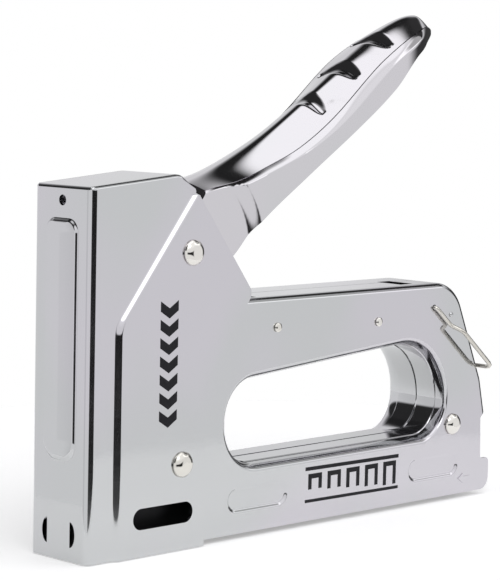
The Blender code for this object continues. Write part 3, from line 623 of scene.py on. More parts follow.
def nose_outline(inset):
    """Side view of the nose's narrow front part."""
    foot = -8.0 if inset else 0.0
    return [
        (inset, foot, 0),
        (inset, nose_top(0) - inset, 0),
        (37.5, nose_top(37.5) - inset, 4.5),
        (44.2, 116.2, 1.5),
        (43.0, 113.0, 0),
        (13.5, 75.5, 0),
        (13.5, foot, 0),
    ]


def cheek_outline(shift, reach=0.0):
    """Side view of a raised cheek. shift moves its front edge, reach opens its back."""
    back = NOSE_BACK + reach
    return fillet(
        [
            (44.4 + 1.28 * shift + 0.8 * reach, 114.7 + reach, 0),
            (68.6 + reach, 83.0, 1.2),
            (68.6 + reach, 80.4, 1.2),
            (back, 55.0, 3.0),
            (back, -reach, 0),
            (CHEEK_FRONT + shift, -reach, 0),
            (CHEEK_FRONT + shift, CHEEK_BEND, 11.0),
        ]
    )


def step_rings(lean, top, bottom, reach, levels=STEP_LEVELS):
    """Rings of the step on both sides, from the left cheek's face to the right one's."""
    rings = []
    for k in range(levels + 1):
        share = k / levels
        y = top - (top - bottom) * ease(share)
        rings.append(side_ring(cheek_outline(lean - STEP_RUN * share, reach), -y))
    mirrored = [[(x, -y, z) for x, y, z in ring] for ring in reversed(rings)]
    return rings + mirrored


print("nose roof rises from", nose_top(0.0), "to", round(nose_top(37.5), 1), "mm")

# %% [markdown]
# The rib is pressed outward, so it stiffens the front wall, and its low ridge keeps the wall from
# ringing. The same rings, moved in by the sheet's thickness, hollow it from behind. The openings are
# plain prisms: an oval window, two slits beside the staple's legs and the seams of the folded roof.

# %% Front rib and openings
RIB_HALF, RIB_FOOT, RIB_TOP = 7.9, 31.0, 108.0
RIB_STEP, RIB_RUN = 0.95, 1.2


def rib(name, inset, levels=6):
    """The long stiffening rib of the front wall: a rounded step all round and a low ridge."""
    half = RIB_HALF - inset * 0.6
    low, high = RIB_FOOT + inset, RIB_TOP - inset
    rings = []
    for k in range(levels + 1):
        share = k / levels
        d = RIB_RUN * share
        outline = fillet(
            [
                (d - half, low + 1.4 * d, 6.5 - 0.6 * d),
                (half - d, low + 1.4 * d, 6.5 - 0.6 * d),
                (half - d, high - d, 4.5 - 0.8 * d),
                (d - half, high - d, 4.5 - 0.8 * d),
            ]
        )
        rings.append(front_ring(outline, inset + 0.02 - (RIB_STEP + 0.02) * ease(share)))
    ridge = [(0.04 * y, min(max(z, low + 4.0), high - 2.5)) for y, z in outline]
    rings.append(front_ring(ridge, inset - RIB_HEIGHT))
    return loft(name, [front_ring([(y, z) for x, y, z in rings[0]], inset + 0.6)] + rings)


def window(name, margin):
    """Oval window through both sides of the nose."""
    x0, x1, z0, z1 = 18.0 - margin, 43.8 + margin, 8.8 - margin, 15.7 + margin
    radius = (z1 - z0) / 2 - 0.02
    outline = fillet([(x0, z0, radius), (x1, z0, radius), (x1, z1, radius), (x0, z1, radius)])
    return side_prism(name, outline, -20.0, 20.0)


def staple_slit(side):
    """D-shaped slit beside one leg of a staple."""
    flat = 5.5
    outline = [(side * flat, 4.4), (side * flat, 12.6)]
    for k in range(1, 14):
        t = math.pi * k / 14
        outline.append((side * (flat + 2.4 * math.sin(t)), 8.5 + 4.1 * math.cos(t)))
    return front_prism("slit", outline, -3.0, 2.0)


def roof_seam(side):
    """Fine gap where the folded roof meets a side wall."""
    outline = []
    for x, rise in ((0.9, 0.6), (36.0, 0.6), (36.0, -0.9), (0.9, -0.9)):
        outline.append((x, nose_top(x) + rise))
    low, high = sorted((side * 12.55, side * 12.9))
    return side_prism("seam", outline, low, high)


print("rib stands", RIB_HEIGHT, "mm proud")

# %% [markdown]
# The cover is built solid first and bevelled along its folds, because a bevel on a thin sheet would
# fold over itself. Cheeks and rib are joined on, then everything is hollowed in one go.

# %% Folded cover
NOSE_BEND = 2.4


def round_cheeks(cheeks):
    """Round the raised cheeks along their top and rear edges."""
    weights = cheeks.data.attributes.new("bevel_weight_edge", "FLOAT", "EDGE")
    for edge in cheeks.data.edges:
        ends = [cheeks.data.vertices[i].co for i in edge.vertices]
        middle = (ends[0] + ends[1]) / 2
        front = CHEEK_FRONT + max(middle.z / MM - CHEEK_BEND, 0.0) * CHEEK_SLOPE
        outer = min(abs(ends[0].y), abs(ends[1].y)) > (PLATE_HALF - 0.001) * MM
        behind = middle.x / MM - FRONT_X > front + 3.0
        weights.data[edge.index].value = 1.0 if outer and behind else 0.0
    bends = cheeks.modifiers.new("bends", "BEVEL")
    bends.width = 0.4 * MM
    bends.segments = 4
    bends.limit_method = "WEIGHT"
    settle(cheeks)
    return cheeks


def nose_cover():
    """Build the folded cover."""
    body = side_prism("nose_cover", fillet(nose_outline(0.0)), -NOSE_HALF, NOSE_HALF, CHROME)
    weights = body.data.attributes.new("bevel_weight_edge", "FLOAT", "EDGE")
    for edge in body.data.edges:
        ends = [body.data.vertices[i].co for i in edge.vertices]
        middle = (ends[0] + ends[1]) / 2
        upright = abs(ends[0].z - ends[1].z) > 0.05 and middle.x < (FRONT_X + 1) * MM
        level = abs(ends[0].y - ends[1].y) < 0.001
        lengthwise = level and middle.z > 115.5 * MM and middle.x < (FRONT_X + 43) * MM
        across = abs(ends[0].y - ends[1].y) > 0.01 and middle.x < (FRONT_X + 1) * MM and middle.z > 0.1
        weights.data[edge.index].value = 1.0 if upright else 0.5 if across or lengthwise else 0.0
    bends = body.modifiers.new("bends", "BEVEL")
    bends.width = NOSE_BEND * MM
    bends.use_clamp_overlap = False
    bends.segments = 8
    bends.limit_method = "WEIGHT"
    settle(body)
    inner = NOSE_HALF - NOSE_SHEET
    cheeks = round_cheeks(loft("cheeks", step_rings(0.0, PLATE_HALF, NOSE_HALF - 0.02, 0.0)))
    carve(body, [cheeks, rib("rib_outside", 0.0)], "UNION")
    hollow = [
        (NOSE_SHEET, -8.0),
        (NOSE_SHEET, nose_top(0) - NOSE_SHEET),
        (37.0, nose_top(37.0) - NOSE_SHEET),
        (37.6, 130.0),
        (80.0, 130.0),
        (80.0, -8.0),
    ]
    cheek_hollow = step_rings(0.27, PLATE_HALF - NOSE_SHEET, inner - 0.02, 9.0, 4)
    tools = [side_prism("hollow", hollow, -inner, inner), loft("cheek_hollow", cheek_hollow)]
    tools += [rib("rib_inside", NOSE_SHEET, 3), window("window", 0.0)]
    tools += [drill("pivot", PIVOT, RIVET_HOLE), drill("lower", NOSE_RIVET, RIVET_HOLE)]
    tools += [front_prism("sight", circle(0.0, 113.4, 1.7, 32), -5.0, 8.0)]
    tools += [staple_slit(-1), staple_slit(1), roof_seam(-1), roof_seam(1)]
    carve(body, tools)
    return polish(body)


cover = nose_cover()
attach(cover, "frame")
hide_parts("nose_housing")
print("nose cover:", len(cover.data.polygons), "faces")

# %% [markdown]
# ## Body shells
# A shell starts as one skin: a flat panel with a rolled rim outside, a rolled lip around the hand
# hole, and two shallow pressed ovals. Solidify then gives the skin its sheet thickness, and booleans
# trim the raw edges at the foot, the rear notch and the tab.

# %% Shell outlines
SHELL_ROUND = 2.6
LIP_DEPTH = 4.6


def shell_rim():
    """Rolled rim, run on past the raw edges."""
    return fillet(
        [
            (10.0, -12.0, 0),
            (10.0, GRIP_TOP, 0),
            (175.5, GRIP_TOP, 15.0),
            (191.7, 43.2, 12.0),
            (194.5, 31.2, 0),
            (BODY_END + 12.0, 27.0, 0),
            (BODY_END + 12.0, -12.0, 0),
        ],
        14,
    )


def shell_keep():
    """What stays of a shell inside its raw edges."""
    return fillet(
        [
            (27.0, BODY_FOOT, 2.0),
            (27.0, 50.0, 4.0),
            (54.0, GRIP_TOP + 8.0, 0),
            (BODY_END + 20.0, GRIP_TOP + 8.0, 0),
            (BODY_END + 20.0, 31.2, 0),
            (194.5, 31.2, 1.2),
            (191.4, 28.6, 1.0),
            (192.0, 13.2, 1.0),
            (BODY_END, 13.2, 1.6),
            (BODY_END, BODY_FOOT, 4.4),
        ]
    )


def hand_hole(offset):
    """Grip opening, larger at its rear end. offset = 0 is its inner wall."""
    rear = offset * 0.5
    return fillet(
        [
            (60.7 - offset, 24.0 - offset, 14.0 + offset),
            (60.7 - offset, 51.7 + offset, 13.5 + offset),
            (170.8 + rear, 60.5 + offset * 1.2, 21.4 + offset),
            (170.8 + rear, 24.6 - offset, 12.5 + offset),
        ],
        20,
    )


def oval(x0, x1, inset):
    """Outline of a shallow pressed oval."""
    z0, z1 = 8.3 + inset, 17.2 - inset
    radius = (z1 - z0) / 2 - 0.05
    x0, x1 = x0 + inset, x1 - inset
    return fillet([(x0, z0, radius), (x1, z0, radius), (x1, z1, radius), (x0, z1, radius)])


def shrink(outline, distance):
    """Move a clockwise outline inwards."""
    moved = []
    for i, point in enumerate(outline):
        before = Vector(point) - Vector(outline[i - 1])
        after = Vector(outline[(i + 1) % len(outline)]) - Vector(point)
        first, second = (Vector((v.y, -v.x)).normalized() for v in (before, after))
        bisector = (first + second).normalized()
        moved.append(tuple(Vector(point) + bisector * (distance / bisector.dot(first))))
    return moved


print("hand hole:", len(hand_hole(0.0)), "points")


# %% [markdown]
# The skin is made of rings that start on the flat panel and roll away from it. Extruding and then
# bevelling would be quicker, but rings keep the roll's width even where the outline turns tightly.
# One triangle fill closes the panel between them.

# %% Shell skin
def shell_rings(side):
    """Rim rings, lip rings and oval rings of one shell, each starting on its flat panel."""
    face, seam = side * SHELL_HALF, side * GAP / 2
    rim = []
    for k in range(10):
        t = math.pi / 2 * k / 9
        inset = SHELL_ROUND * (1 - math.sin(t))
        rim.append(side_ring(shrink(shell_rim(), inset), face - side * SHELL_ROUND * (1 - math.cos(t))))
    rim.append(side_ring(shell_rim(), seam))
    lip = []
    for k in range(13):
        share = k / 12
        t = math.pi / 2 * share * 0.93
        depth = LIP_DEPTH * (1 - math.cos(t)) / 0.89
        lip.append(side_ring(hand_hole(2.6 * (1 - math.sin(t))), face - side * depth))
    lip.append(side_ring(hand_hole(0.0), face - side * (LIP_DEPTH + 0.25)))
    lip.append(side_ring(hand_hole(-0.35), face - side * (LIP_DEPTH + 0.55)))
    lip.append(side_ring(hand_hole(-0.35), seam * 4))
    lip.append(side_ring(hand_hole(0.0), seam))
    ovals = []
    for x0, x1 in ((60.7, 89.6), (151.3, 179.2)):
        rings = []
        for k in range(7):
            share = k / 6
            rings.append(side_ring(oval(x0, x1, 1.5 * share), face - side * 0.7 * ease(share)))
        ovals.append(rings)
    return rim, lip, ovals


def shell_skin(name, side):
    """Join the rings into one open skin whose panel faces outwards."""
    bm = bmesh.new()
    rim, lip, ovals = shell_rings(side)
    borders = []
    for rings, closed in [(rim, False), (lip, False)] + [(rings, True) for rings in ovals]:
        loops = [[bm.verts.new(place(*point)) for point in ring] for ring in rings]
        for first, second in zip(loops, loops[1:]):
            for i in range(len(first)):
                j = (i + 1) % len(first)
                bm.faces.new([first[i], first[j], second[j], second[i]])
        if closed:
            bm.faces.new(loops[-1])
        for i, vert in enumerate(loops[0]):
            borders.append(bm.edges.get((vert, loops[0][(i + 1) % len(loops[0])])))
    filled = bmesh.ops.triangle_fill(bm, use_beauty=True, edges=borders)
    bmesh.ops.recalc_face_normals(bm, faces=bm.faces[:])
    panel = [item for item in filled["geom"] if isinstance(item, bmesh.types.BMFace)]
    if panel[0].normal.y * side < 0:
        bmesh.ops.reverse_faces(bm, faces=bm.faces[:])
    return new_object(name, bm, CHROME)


print("lip is", LIP_DEPTH, "mm deep")

# %% [markdown]
# Solidify grows the sheet inwards from the skin. The trimming tools then stop short of the outer
# rolled face, as a press leaves it, so the raw edges show only at the foot, rear and throat.

# %% Finished shells
def finished_shell(name, side):
    """Give a skin its thickness and trim it."""
    shell = shell_skin(name, side)
    thicken = shell.modifiers.new("sheet", "SOLIDIFY")
    thicken.thickness = SHELL_SHEET * MM
    thicken.offset = -1.0
    thicken.use_even_offset = True
    settle(shell)
    near, far = sorted((side * (SHELL_HALF + 4.0), -side * 2.0))
    carve(shell, [side_prism("keep", shell_keep(), near, far)], "INTERSECT")
    span = tuple(sorted((side * (SHELL_HALF - SHELL_ROUND - 0.15), -side * 2.0)))
    tools = [
        box("throat", (0.0, 75.1), span, (60.0, 90.0)),
        box("foot", (0.0, BODY_END + 20.0), span, (-20.0, 5.0)),
        box("rear", (BODY_END - 14.0, BODY_END + 20.0), span, (-20.0, 31.2)),
        box("top_slot", (150.0, 156.5), (-9.0, 2.5), (75.0, 90.0)),
        window("window", 1.2),
        drill("nose", NOSE_RIVET, RIVET_HOLE),
        drill("rear", REAR_RIVET, RIVET_HOLE),
        drill("wire", WIRE_PIVOT, 1.1),
    ]
    tools += [drill("pin", spot, 1.4) for spot in GRIP_PINS]
    carve(shell, tools)
    return polish(shell)


for name, side in (("left_shell", -1), ("right_shell", 1)):
    shell = finished_shell(name + "_pressed", side)
    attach(shell, "frame")
    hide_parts(name)
    print(shell.name, len(shell.data.polygons), "faces")

# %% [markdown]
# ## Squeeze lever
# The lever is a channel whose section changes all the way: a narrow rounded ridge, a flank that
# falls to a crease, a bright bevel below it, and an upright wall. Four curves along the lever give
# the height of each, and one gives its width. Three finger scoops are pressed into the ridge.

# %% Lever curves
LEVER_TIP = 170.6
CROWN = ((30.0, 108.0), (44.0, 115.6), (64.9, 122.6), (87.0, 133.0), (110.0, 147.0), (133.7, 162.6))
CROWN += ((150.3, 172.2), (163.2, 175.6), (170.6, 171.2))
CREASE = ((30.0, 106.0), (47.0, 115.2), (64.8, 118.9), (76.6, 122.9), (92.7, 129.4), (109.0, 139.4))
CREASE += ((127.5, 154.4), (134.4, 159.4), (146.0, 166.0), (156.0, 169.9), (164.0, 171.6), (170.6, 170.6))
BAND = ((30.0, 104.0), (50.4, 113.0), (65.9, 117.6), (81.8, 123.0), (98.2, 129.6), (114.9, 139.5))
BAND += ((132.0, 153.2), (140.7, 159.7), (149.6, 164.0), (158.0, 167.3), (170.6, 170.2))
EDGE = ((30.0, 84.0), (50.0, 88.5), (61.0, 94.0), (71.4, 104.3), (94.2, 119.8), (118.8, 135.8))
EDGE += ((138.3, 149.6), (150.1, 160.1), (160.0, 165.4), (170.6, 169.6))
WIDTH = ((60.0, LEVER_HALF), (110.0, LEVER_HALF), (138.0, 15.0), (154.0, 12.4), (163.0, 7.4))
WIDTH += ((168.5, 3.8), (170.6, 2.0))


def smooth(knots, x):
    """Read a smooth curve through (x, value) knots."""
    if x <= knots[0][0]:
        return knots[0][1]
    if x >= knots[-1][0]:
        return knots[-1][1]
    i = max(k for k in range(len(knots) - 1) if knots[k][0] <= x)

    def slope(k):
        low, high = max(k - 1, 0), min(k + 1, len(knots) - 1)
        return (knots[high][1] - knots[low][1]) / (knots[high][0] - knots[low][0])

    run = knots[i + 1][0] - knots[i][0]
    t = (x - knots[i][0]) / run
    value = (2 * t**3 - 3 * t**2 + 1) * knots[i][1] + (t**3 - 2 * t**2 + t) * run * slope(i)
    return value + (3 * t**2 - 2 * t**3) * knots[i + 1][1] + (t**3 - t**2) * run * slope(i + 1)


print("lever is", round(smooth(CROWN, LEVER_TIP), 1), "mm high at its tip")

# %% [markdown]
# The finger scoops could be cut with ellipsoids, but a press tool leaves no sharp cut at the sides. So
# the ridge is lowered by a formula: a steep wall at the rear and a longer ramp in front of it.

# %% Finger scoops
SCOOPS = (107.5, 124.0, 140.5)
SCOOP_DEPTH, SCOOP_HALF = 2.1, 9.5
SCOOP_RAMP, SCOOP_WALL, SCOOP_BOW = 5.0, 2.4, 1.6


def scoop(x, y):
    """Depth of the finger scoops: a long ramp in front of a steep wall that bows to the rear."""
    bow = 1.0 - (y / SCOOP_HALF) ** 2
    if bow <= 0.0:
        return 0.0
    depth = 0.0
    for centre in SCOOPS:
        run = x - centre - SCOOP_BOW * bow
        if run > 0.0:
            share = 1.0 - run / SCOOP_WALL
        else:
            share = 1.0 + run / (SCOOP_RAMP * bow**0.5)
        depth += ease(min(max(share, 0.0), 1.0))
    return SCOOP_DEPTH * depth * bow**0.6


print("scoops at", SCOOPS)

# %% [markdown]
# A section runs from the ridge down the flank, over a fine pressed crease, round a bright bevel and
# down the wall. Near the pivot the lever steps in along an arc, so that it can turn between the
# cheeks.

# %% Lever sections
FOLD = 0.8
GROOVE = 0.7
ROUNDNESS = 0.4
THROAT_RADIUS, THROAT_RUN = 25.5, 7.0


def throat_limit(x, z):
    """Widest that the lever may be: it steps in to pass between the cheeks."""
    share = (math.hypot(x - PIVOT[0], z - PIVOT[1]) - THROAT_RADIUS) / THROAT_RUN
    return NARROW_HALF + (LEVER_HALF - NARROW_HALF) * ease(min(max(share, 0.0), 1.0))


def lever_row(x, inset):
    """Half a section at x, from the ridge to the raw lower edge, as (x, y, z)."""
    top, crease = smooth(CROWN, x) - inset, smooth(CREASE, x) - inset
    band, edge = smooth(BAND, x) - inset / 2, smooth(EDGE, x)
    half = smooth(WIDTH, x) - inset
    fold = half * FOLD
    row = []
    for k in range(27):
        share = k / 26
        y = fold * share
        fall = (math.hypot(share, ROUNDNESS) - ROUNDNESS) / (math.hypot(1.0, ROUNDNESS) - ROUNDNESS)
        row.append((x, y, top - (top - crease) * fall - scoop(x, y)))
    if inset == 0.0:
        row.append((x, fold + 0.05, crease - GROOVE))
        row.append((x, fold + 0.35, crease - GROOVE))
    else:
        row += [(x, fold + 0.05, crease - 0.02), (x, fold + 0.35, crease - 0.04)]
    for k in range(7):
        share = k / 6
        y = fold + 0.4 + (half - fold - 0.4) * math.sin(share * math.pi / 2)
        row.append((x, y, crease - 0.1 + (band - crease) * share))
    for k in range(1, 21):
        row.append((x, half, band - 0.1 + (edge - band + 0.1) * k / 20))
    return [(x, min(y, throat_limit(x, z) - inset), z) for x, y, z in row]


print("a section has", 2 * len(lever_row(100.0, 0.0)) - 1, "points")

# %% [markdown]
# Outer and inner skins are built from the same sections and joined along their raw edges. Solidify
# would fold over itself in the narrow tip. The front is then trimmed round the pivot, in line with
# the sloping edge of the cheeks.

# %% Squeeze lever
BOSS = 6.6
LEVER_START = 32.0


def lever_front():
    """What is taken off the front so that the lever turns inside the cheeks."""
    outline = [(10.0, 140.0), (10.0, 60.0), (PIVOT[0] + 4.0, 60.0), (PIVOT[0] + 4.0, PIVOT[1] - 7.5)]
    start = math.radians(-72.0)
    stop = math.radians(-180.0) - (math.pi / 2 - math.atan2(1.0, CHEEK_SLOPE))
    for k in range(25):
        t = start + (stop - start) * k / 24
        outline.append((PIVOT[0] + BOSS * math.cos(t), PIVOT[1] + BOSS * math.sin(t)))
    outline.append((outline[-1][0] + CHEEK_SLOPE * (140.0 - outline[-1][1]), 140.0))
    return side_prism("front", outline, -20.0, 20.0)


def lever_skin(bm, stations, inset):
    """One skin of the lever, as rows of vertices and the faces between them."""
    rows = []
    for x in stations:
        half = lever_row(x, inset)
        full = [(x, -y, z) for x, y, z in reversed(half)] + half[1:]
        rows.append([bm.verts.new(place(*point)) for point in full])
    for first, second in zip(rows, rows[1:]):
        for i in range(len(first) - 1):
            bm.faces.new([first[i], first[i + 1], second[i + 1], second[i]])
    bm.faces.new(rows[-1])
    return rows


def squeeze_lever():
    """Build the lever's outer and inner skins, join them and trim the front."""
    bm = bmesh.new()
    stations = [LEVER_START + 0.9 * k for k in range(74)] + [98.3 + 0.45 * k for k in range(109)]
    stations += [147.0 + 0.9 * k for k in range(21)]
    stations += [165.2 + (LEVER_TIP - 165.2) * math.sin(math.pi / 2 * k / 12) for k in range(1, 13)]
    shorter = (LEVER_TIP - LEVER_SHEET - LEVER_START) / (LEVER_TIP - LEVER_START)
    outer = lever_skin(bm, stations, 0.0)
    inner = lever_skin(bm, [LEVER_START + (x - LEVER_START) * shorter for x in stations], LEVER_SHEET)
    for i in range(len(outer[0]) - 1):
        bm.faces.new([outer[0][i], outer[0][i + 1], inner[0][i + 1], inner[0][i]])
    for a, b, c, d in zip(outer, outer[1:], inner[1:], inner):
        bm.faces.new([a[0], b[0], c[0], d[0]])
        bm.faces.new([a[-1], b[-1], c[-1], d[-1]])
    bm.faces.new([outer[-1][0], outer[-1][-1], inner[-1][-1], inner[-1][0]])
    bmesh.ops.recalc_face_normals(bm, faces=bm.faces[:])
    lever = new_object("squeeze_lever", bm, LEVER_CHROME)
    carve(lever, [lever_front(), drill("pivot", PIVOT, RIVET_HOLE), drill("fork", (54.5, 96.2), 1.9)])
    lever.data.shade_smooth()
    lever.data.set_sharp_from_angle(angle=math.radians(30.0))
    return lever


lever = squeeze_lever()
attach(lever, "squeeze_lever")
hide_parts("lever")
print("lever:", len(lever.data.polygons), "faces")

# %% [markdown]
# ## Rivets and pins
# Rivets are turned shapes: a flat skirt that seats on the sheet and a low dome. A profile of radii
# spun about the rivet's own line gives both heads and the shank in one piece.

# %% Rivets
def rivet(name, spot, half, shank, head, dome, replaced):
    """Turn a through rivet with a low dome on each side."""
    seat = half + GAP * 0.4
    right = [(seat, shank), (seat, head * 0.97), (seat + 0.12, head), (seat + 0.45, head)]
    for k in range(1, 17):
        share = 1.0 - k / 16
        right.append((seat + 0.45 + dome * (1.0 - share**4), max(head * share, 0.02)))
    left = [(-y, radius) for y, radius in reversed(right)]
    piece = cross_bar(name, spot, left + right, NICKEL)
    piece.data.shade_smooth()
    piece.data.set_sharp_from_angle(angle=math.radians(40.0))
    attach(piece, "frame")
    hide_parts(replaced)
    return piece


rivet("pivot_rivet_turned", PIVOT, PLATE_HALF, 2.5, 4.2, 1.6, "lever_pivot_rivet")
rivet("lower_rivet_turned", NOSE_RIVET, PLATE_HALF, 2.5, 4.2, 1.6, "nose_rivet")
rivet("rear_rivet_turned", REAR_RIVET, SHELL_HALF, 2.5, 3.9, 1.5, "rear_rivet")
for label, spot in zip(("grip_pin_front", "grip_pin_rear"), GRIP_PINS):
    rivet(label + "_turned", spot, SHELL_HALF, 1.1, 1.6, 0.4, label)
print("rivets turned")


# %% [markdown]
# ## Lock wire
# The handle lock is a single bent wire. A curve with a round bevel keeps its thickness true through
# every bend, and new_from_object turns it into a plain mesh.

# %% Lock wire
WIRE_RADIUS = 0.8


def lock_wire():
    """Sweep the wire that swings up over the closed lever."""
    along = Vector((27.7, 0.0, -23.3))
    reach = along.length
    along.normalize()
    surface = SHELL_HALF + WIRE_RADIUS + GAP
    half_path = [
        (0.0, SHELL_HALF - SHELL_SHEET - 1.5),
        (0.0, surface - 0.9),
        (0.25, surface - 0.25),
        (0.9, surface),
        (5.0, surface),
        (9.6, surface),
        (10.6, surface + 0.3),
        (11.4, surface + 1.0),
        (13.0, 18.0),
        (13.8, 18.7),
        (14.8, 19.0),
        (reach - 3.0, 19.0),
        (reach - 1.5, 18.6),
        (reach - 0.5, 17.6),
        (reach, 16.0),
    ]
    flat = [(run, -y) for run, y in half_path] + [(run, y) for run, y in reversed(half_path)]
    data = bpy.data.curves.new("lock_wire", "CURVE")
    data.dimensions = "3D"
    data.bevel_depth = WIRE_RADIUS * MM
    data.bevel_resolution = 4
    data.use_fill_caps = True
    spline = data.splines.new("POLY")
    spline.points.add(len(flat) - 1)
    for point, (run, y) in zip(spline.points, flat):
        spot = place(WIRE_PIVOT[0] + along.x * run, y, WIRE_PIVOT[1] + along.z * run)
        point.co = (*spot, 1.0)
    swept = bpy.data.objects.new("lock_wire_path", data)
    bpy.context.collection.objects.link(swept)
    graph = bpy.context.evaluated_depsgraph_get()
    mesh = bpy.data.meshes.new_from_object(swept.evaluated_get(graph))
    bpy.data.objects.remove(swept, do_unlink=True)
    wire = bpy.data.objects.new("lock_wire", mesh)
    bpy.context.collection.objects.link(wire)
    mesh.materials.clear()
    mesh.materials.append(WIRE)
    mesh.shade_smooth()
    return wire


wire = lock_wire()
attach(wire, "handle_lock")
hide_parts("handle_lock_wire")
print("wire:", len(wire.data.polygons), "faces")

# %% [markdown]
# ## Printed marks
# The marks are ink: outlines a few hundredths of a millimetre thick, laid on the sheet. A column of
# chevrons points at the muzzle, and a row of staples with longer and longer legs shows what it takes.

# %% Printed marks
INK_THICK = 0.03


def joined(name, parts, body):
    """Join several small pieces into one that rides a body."""
    bm = bmesh.new()
    for part in parts:
        bm.from_mesh(part.data)
    material = parts[0].data.materials[0]
    for part in parts:
        bpy.data.objects.remove(part, do_unlink=True)
    piece = new_object(name, bm, material)
    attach(piece, body)
    return piece


def chevrons():
    """Column of chevrons on the left cheek."""
    x0, x1, thick, pitch = 28.3, 36.0, 3.3, 5.85
    parts = []
    for k in range(7):
        z = 43.9 + pitch * k
        middle = (x0 + x1) / 2
        outline = [(x0, z + 2.4), (x0, z + 2.4 - thick), (middle, z - thick), (x1, z + 2.4 - thick)]
        outline += [(x1, z + 2.4), (middle, z)]
        parts.append(side_prism("chevron", outline, -PLATE_HALF - INK_THICK, -PLATE_HALF + INK_THICK, INK))
    return joined("chevron_mark", parts, "frame")


def staple_row():
    """Two rules with a row of staples between them, on the left shell's lower bar."""
    near, far = -SHELL_HALF - INK_THICK, -SHELL_HALF + INK_THICK
    parts = []
    for z, thick in ((18.9, 1.3), (7.8, 1.1)):
        rule = [(98.0, z), (146.0, z - 0.4), (146.0, z - 0.4 + thick), (98.0, z + thick)]
        parts.append(side_prism("rule", rule, near, far, INK))
    for k in range(5):
        x, leg = 99.5 + 9.6 * k, 5.4 + 0.75 * k
        top, wide, wire = 17.7, 6.8, 1.7
        outline = [(x, top - leg), (x, top), (x + wide, top), (x + wide, top - leg)]
        outline += [(x + wide - wire, top - leg), (x + wide - wire, top - wire), (x + wire, top - wire)]
        outline += [(x + wire, top - leg)]
        parts.append(side_prism("staple_mark", outline, near, far, INK))
    return joined("staple_row_mark", parts, "frame")


for piece in (chevrons(), staple_row()):
    print(piece.name, len(piece.data.polygons), "faces")

# %% [markdown]
# A dimple holds the lock wire down, and an arrow at the foot shows which way the pusher comes out.
# Both are raised from the sheet, so they are little lofts in the sheet's own finish.

# %% Small pressings
def small_pressings(side):
    """Latch dimple and loading arrow that are raised on a shell."""
    sheet = side * SHELL_HALF
    dimple = [(side * (SHELL_HALF - 0.1), 1.0)]
    for t in (0.1, 0.4, 0.8, 1.2, 1.5):
        dimple.append((side * (SHELL_HALF + 0.6 * math.sin(t)), math.cos(t)))
    parts = [cross_bar("dimple", (172.6, 68.1), dimple, CHROME, 24)]
    arrow = [(179.3, 7.0), (182.0, 8.8), (182.0, 7.6), (186.2, 7.6), (186.2, 6.4), (182.0, 6.4), (182.0, 5.2)]
    raised = [side_ring(arrow, sheet - side * 0.1), side_ring(arrow, sheet + side * 0.25)]
    parts.append(loft("arrow", raised, CHROME))
    for part in parts:
        part.data.shade_smooth()
        part.data.set_sharp_from_angle(angle=math.radians(40.0))
    return joined("left_pressings" if side < 0 else "right_pressings", parts, "frame")


for piece in (small_pressings(-1), small_pressings(1)):
    print(piece.name, len(piece.data.polygons), "faces")

# %% [markdown]
# ## Staples
# The strip is one staple repeated. A small node tree sets copies in a row at the pitch of the wire,
# so one bent wire is all that has to be modelled.

# %% Staple strip
STAPLE_CROWN, STAPLE_WIRE, STAPLE_PITCH, STAPLE_COUNT = 10.6, 0.5, 0.56, 142


def one_staple(front, foot, crown):
    """A single bent staple with chamfered bends."""
    half, wire = STAPLE_CROWN / 2, STAPLE_WIRE
    outline = [(-half, foot), (-half, crown - 0.5), (-half + 0.5, crown)]
    outline += [(half - 0.5, crown), (half, crown - 0.5)]
    outline += [(half, foot), (half - wire, foot), (half - wire, crown - wire), (wire - half, crown - wire)]
    outline += [(wire - half, foot)]
    return front_prism("staple_strip_wires", outline, front, front + wire, STAPLES)


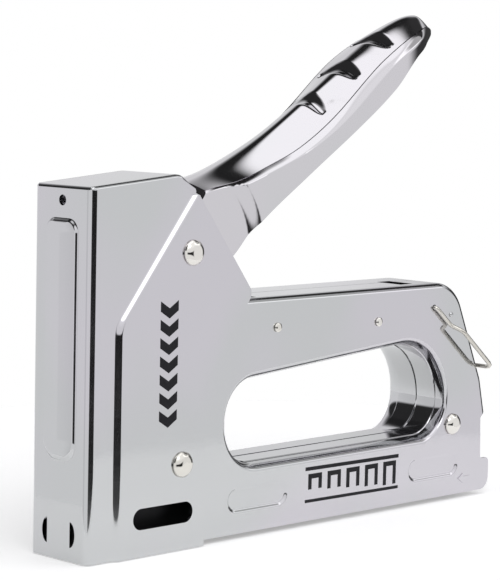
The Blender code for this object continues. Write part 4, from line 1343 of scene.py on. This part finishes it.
def row_tree():
    """Node tree that repeats a piece in a row along the gun."""
    tree = bpy.data.node_groups.new("row_along_gun", "GeometryNodeTree")
    kinds = {"Geometry": "Geometry", "Count": "Int", "Pitch": "Float", "Material": "Material"}
    for label, kind in kinds.items():
        tree.interface.new_socket(label, in_out="INPUT", socket_type="NodeSocket" + kind)
    tree.interface.new_socket("Geometry", in_out="OUTPUT", socket_type="NodeSocketGeometry")
    enter, leave = tree.nodes.new("NodeGroupInput"), tree.nodes.new("NodeGroupOutput")
    step = tree.nodes.new("ShaderNodeCombineXYZ")
    line = tree.nodes.new("GeometryNodeMeshLine")
    copies = tree.nodes.new("GeometryNodeInstanceOnPoints")
    real = tree.nodes.new("GeometryNodeRealizeInstances")
    coat = tree.nodes.new("GeometryNodeSetMaterial")
    for source, target in (
        (enter.outputs["Pitch"], step.inputs["X"]),
        (enter.outputs["Count"], line.inputs["Count"]),
        (step.outputs[0], line.inputs["Offset"]),
        (line.outputs[0], copies.inputs["Points"]),
        (enter.outputs["Geometry"], copies.inputs["Instance"]),
        (copies.outputs[0], real.inputs[0]),
        (real.outputs[0], coat.inputs["Geometry"]),
        (enter.outputs["Material"], coat.inputs["Material"]),
        (coat.outputs[0], leave.inputs[0]),
    ):
        tree.links.new(source, target)
    return tree


def staple_strip():
    """Repeat one staple along the rail and settle the row into a plain mesh."""
    low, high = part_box("staple_strip")
    staple = one_staple(low.x / MM - FRONT_X, low.z / MM, high.z / MM)
    tree = row_tree()
    modifier = staple.modifiers.new("row", "NODES")
    modifier.node_group = tree
    values = {"Count": STAPLE_COUNT, "Pitch": STAPLE_PITCH * MM, "Material": STAPLES}
    for item in tree.interface.items_tree:
        if item.in_out == "INPUT" and item.name in values:
            modifier[item.identifier] = values[item.name]
    settle(staple)
    return staple


strip = staple_strip()
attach(strip, "frame")
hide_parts("staple_strip")
print("staples:", len(strip.data.polygons), "faces in", STAPLE_COUNT, "staples")

# %% [markdown]
# ## Inner pieces
# The mechanism's shapes are already right, so these pieces keep the frame's meshes and only get a
# better finish: plain steel, nickel, rubber and blued springs. The two guides behind the window are
# painted near black, as painted shade for the dark depths there.

# %% Finish of the inner pieces
KEPT = {
    STEEL: "lifting_fork pivot_bush nose_spacer rear_spacer plunger_yoke driver_blade spring_cap "
    "staple_rail staple_follower pusher_rod pusher_handle",
    NICKEL: "fork_rivet_left fork_rivet_right",
    RUBBER: "driver_bumper",
    BLUED: "power_spring pusher_spring",
    WINDOW_DEPTH_SHADE: "blade_guide magazine_channel",
}
for material, names in KEPT.items():
    for name in names.split():
        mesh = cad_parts[name].data
        mesh.materials.clear()
        mesh.materials.append(material)
    print(material.name, "on", len(names.split()), "pieces")
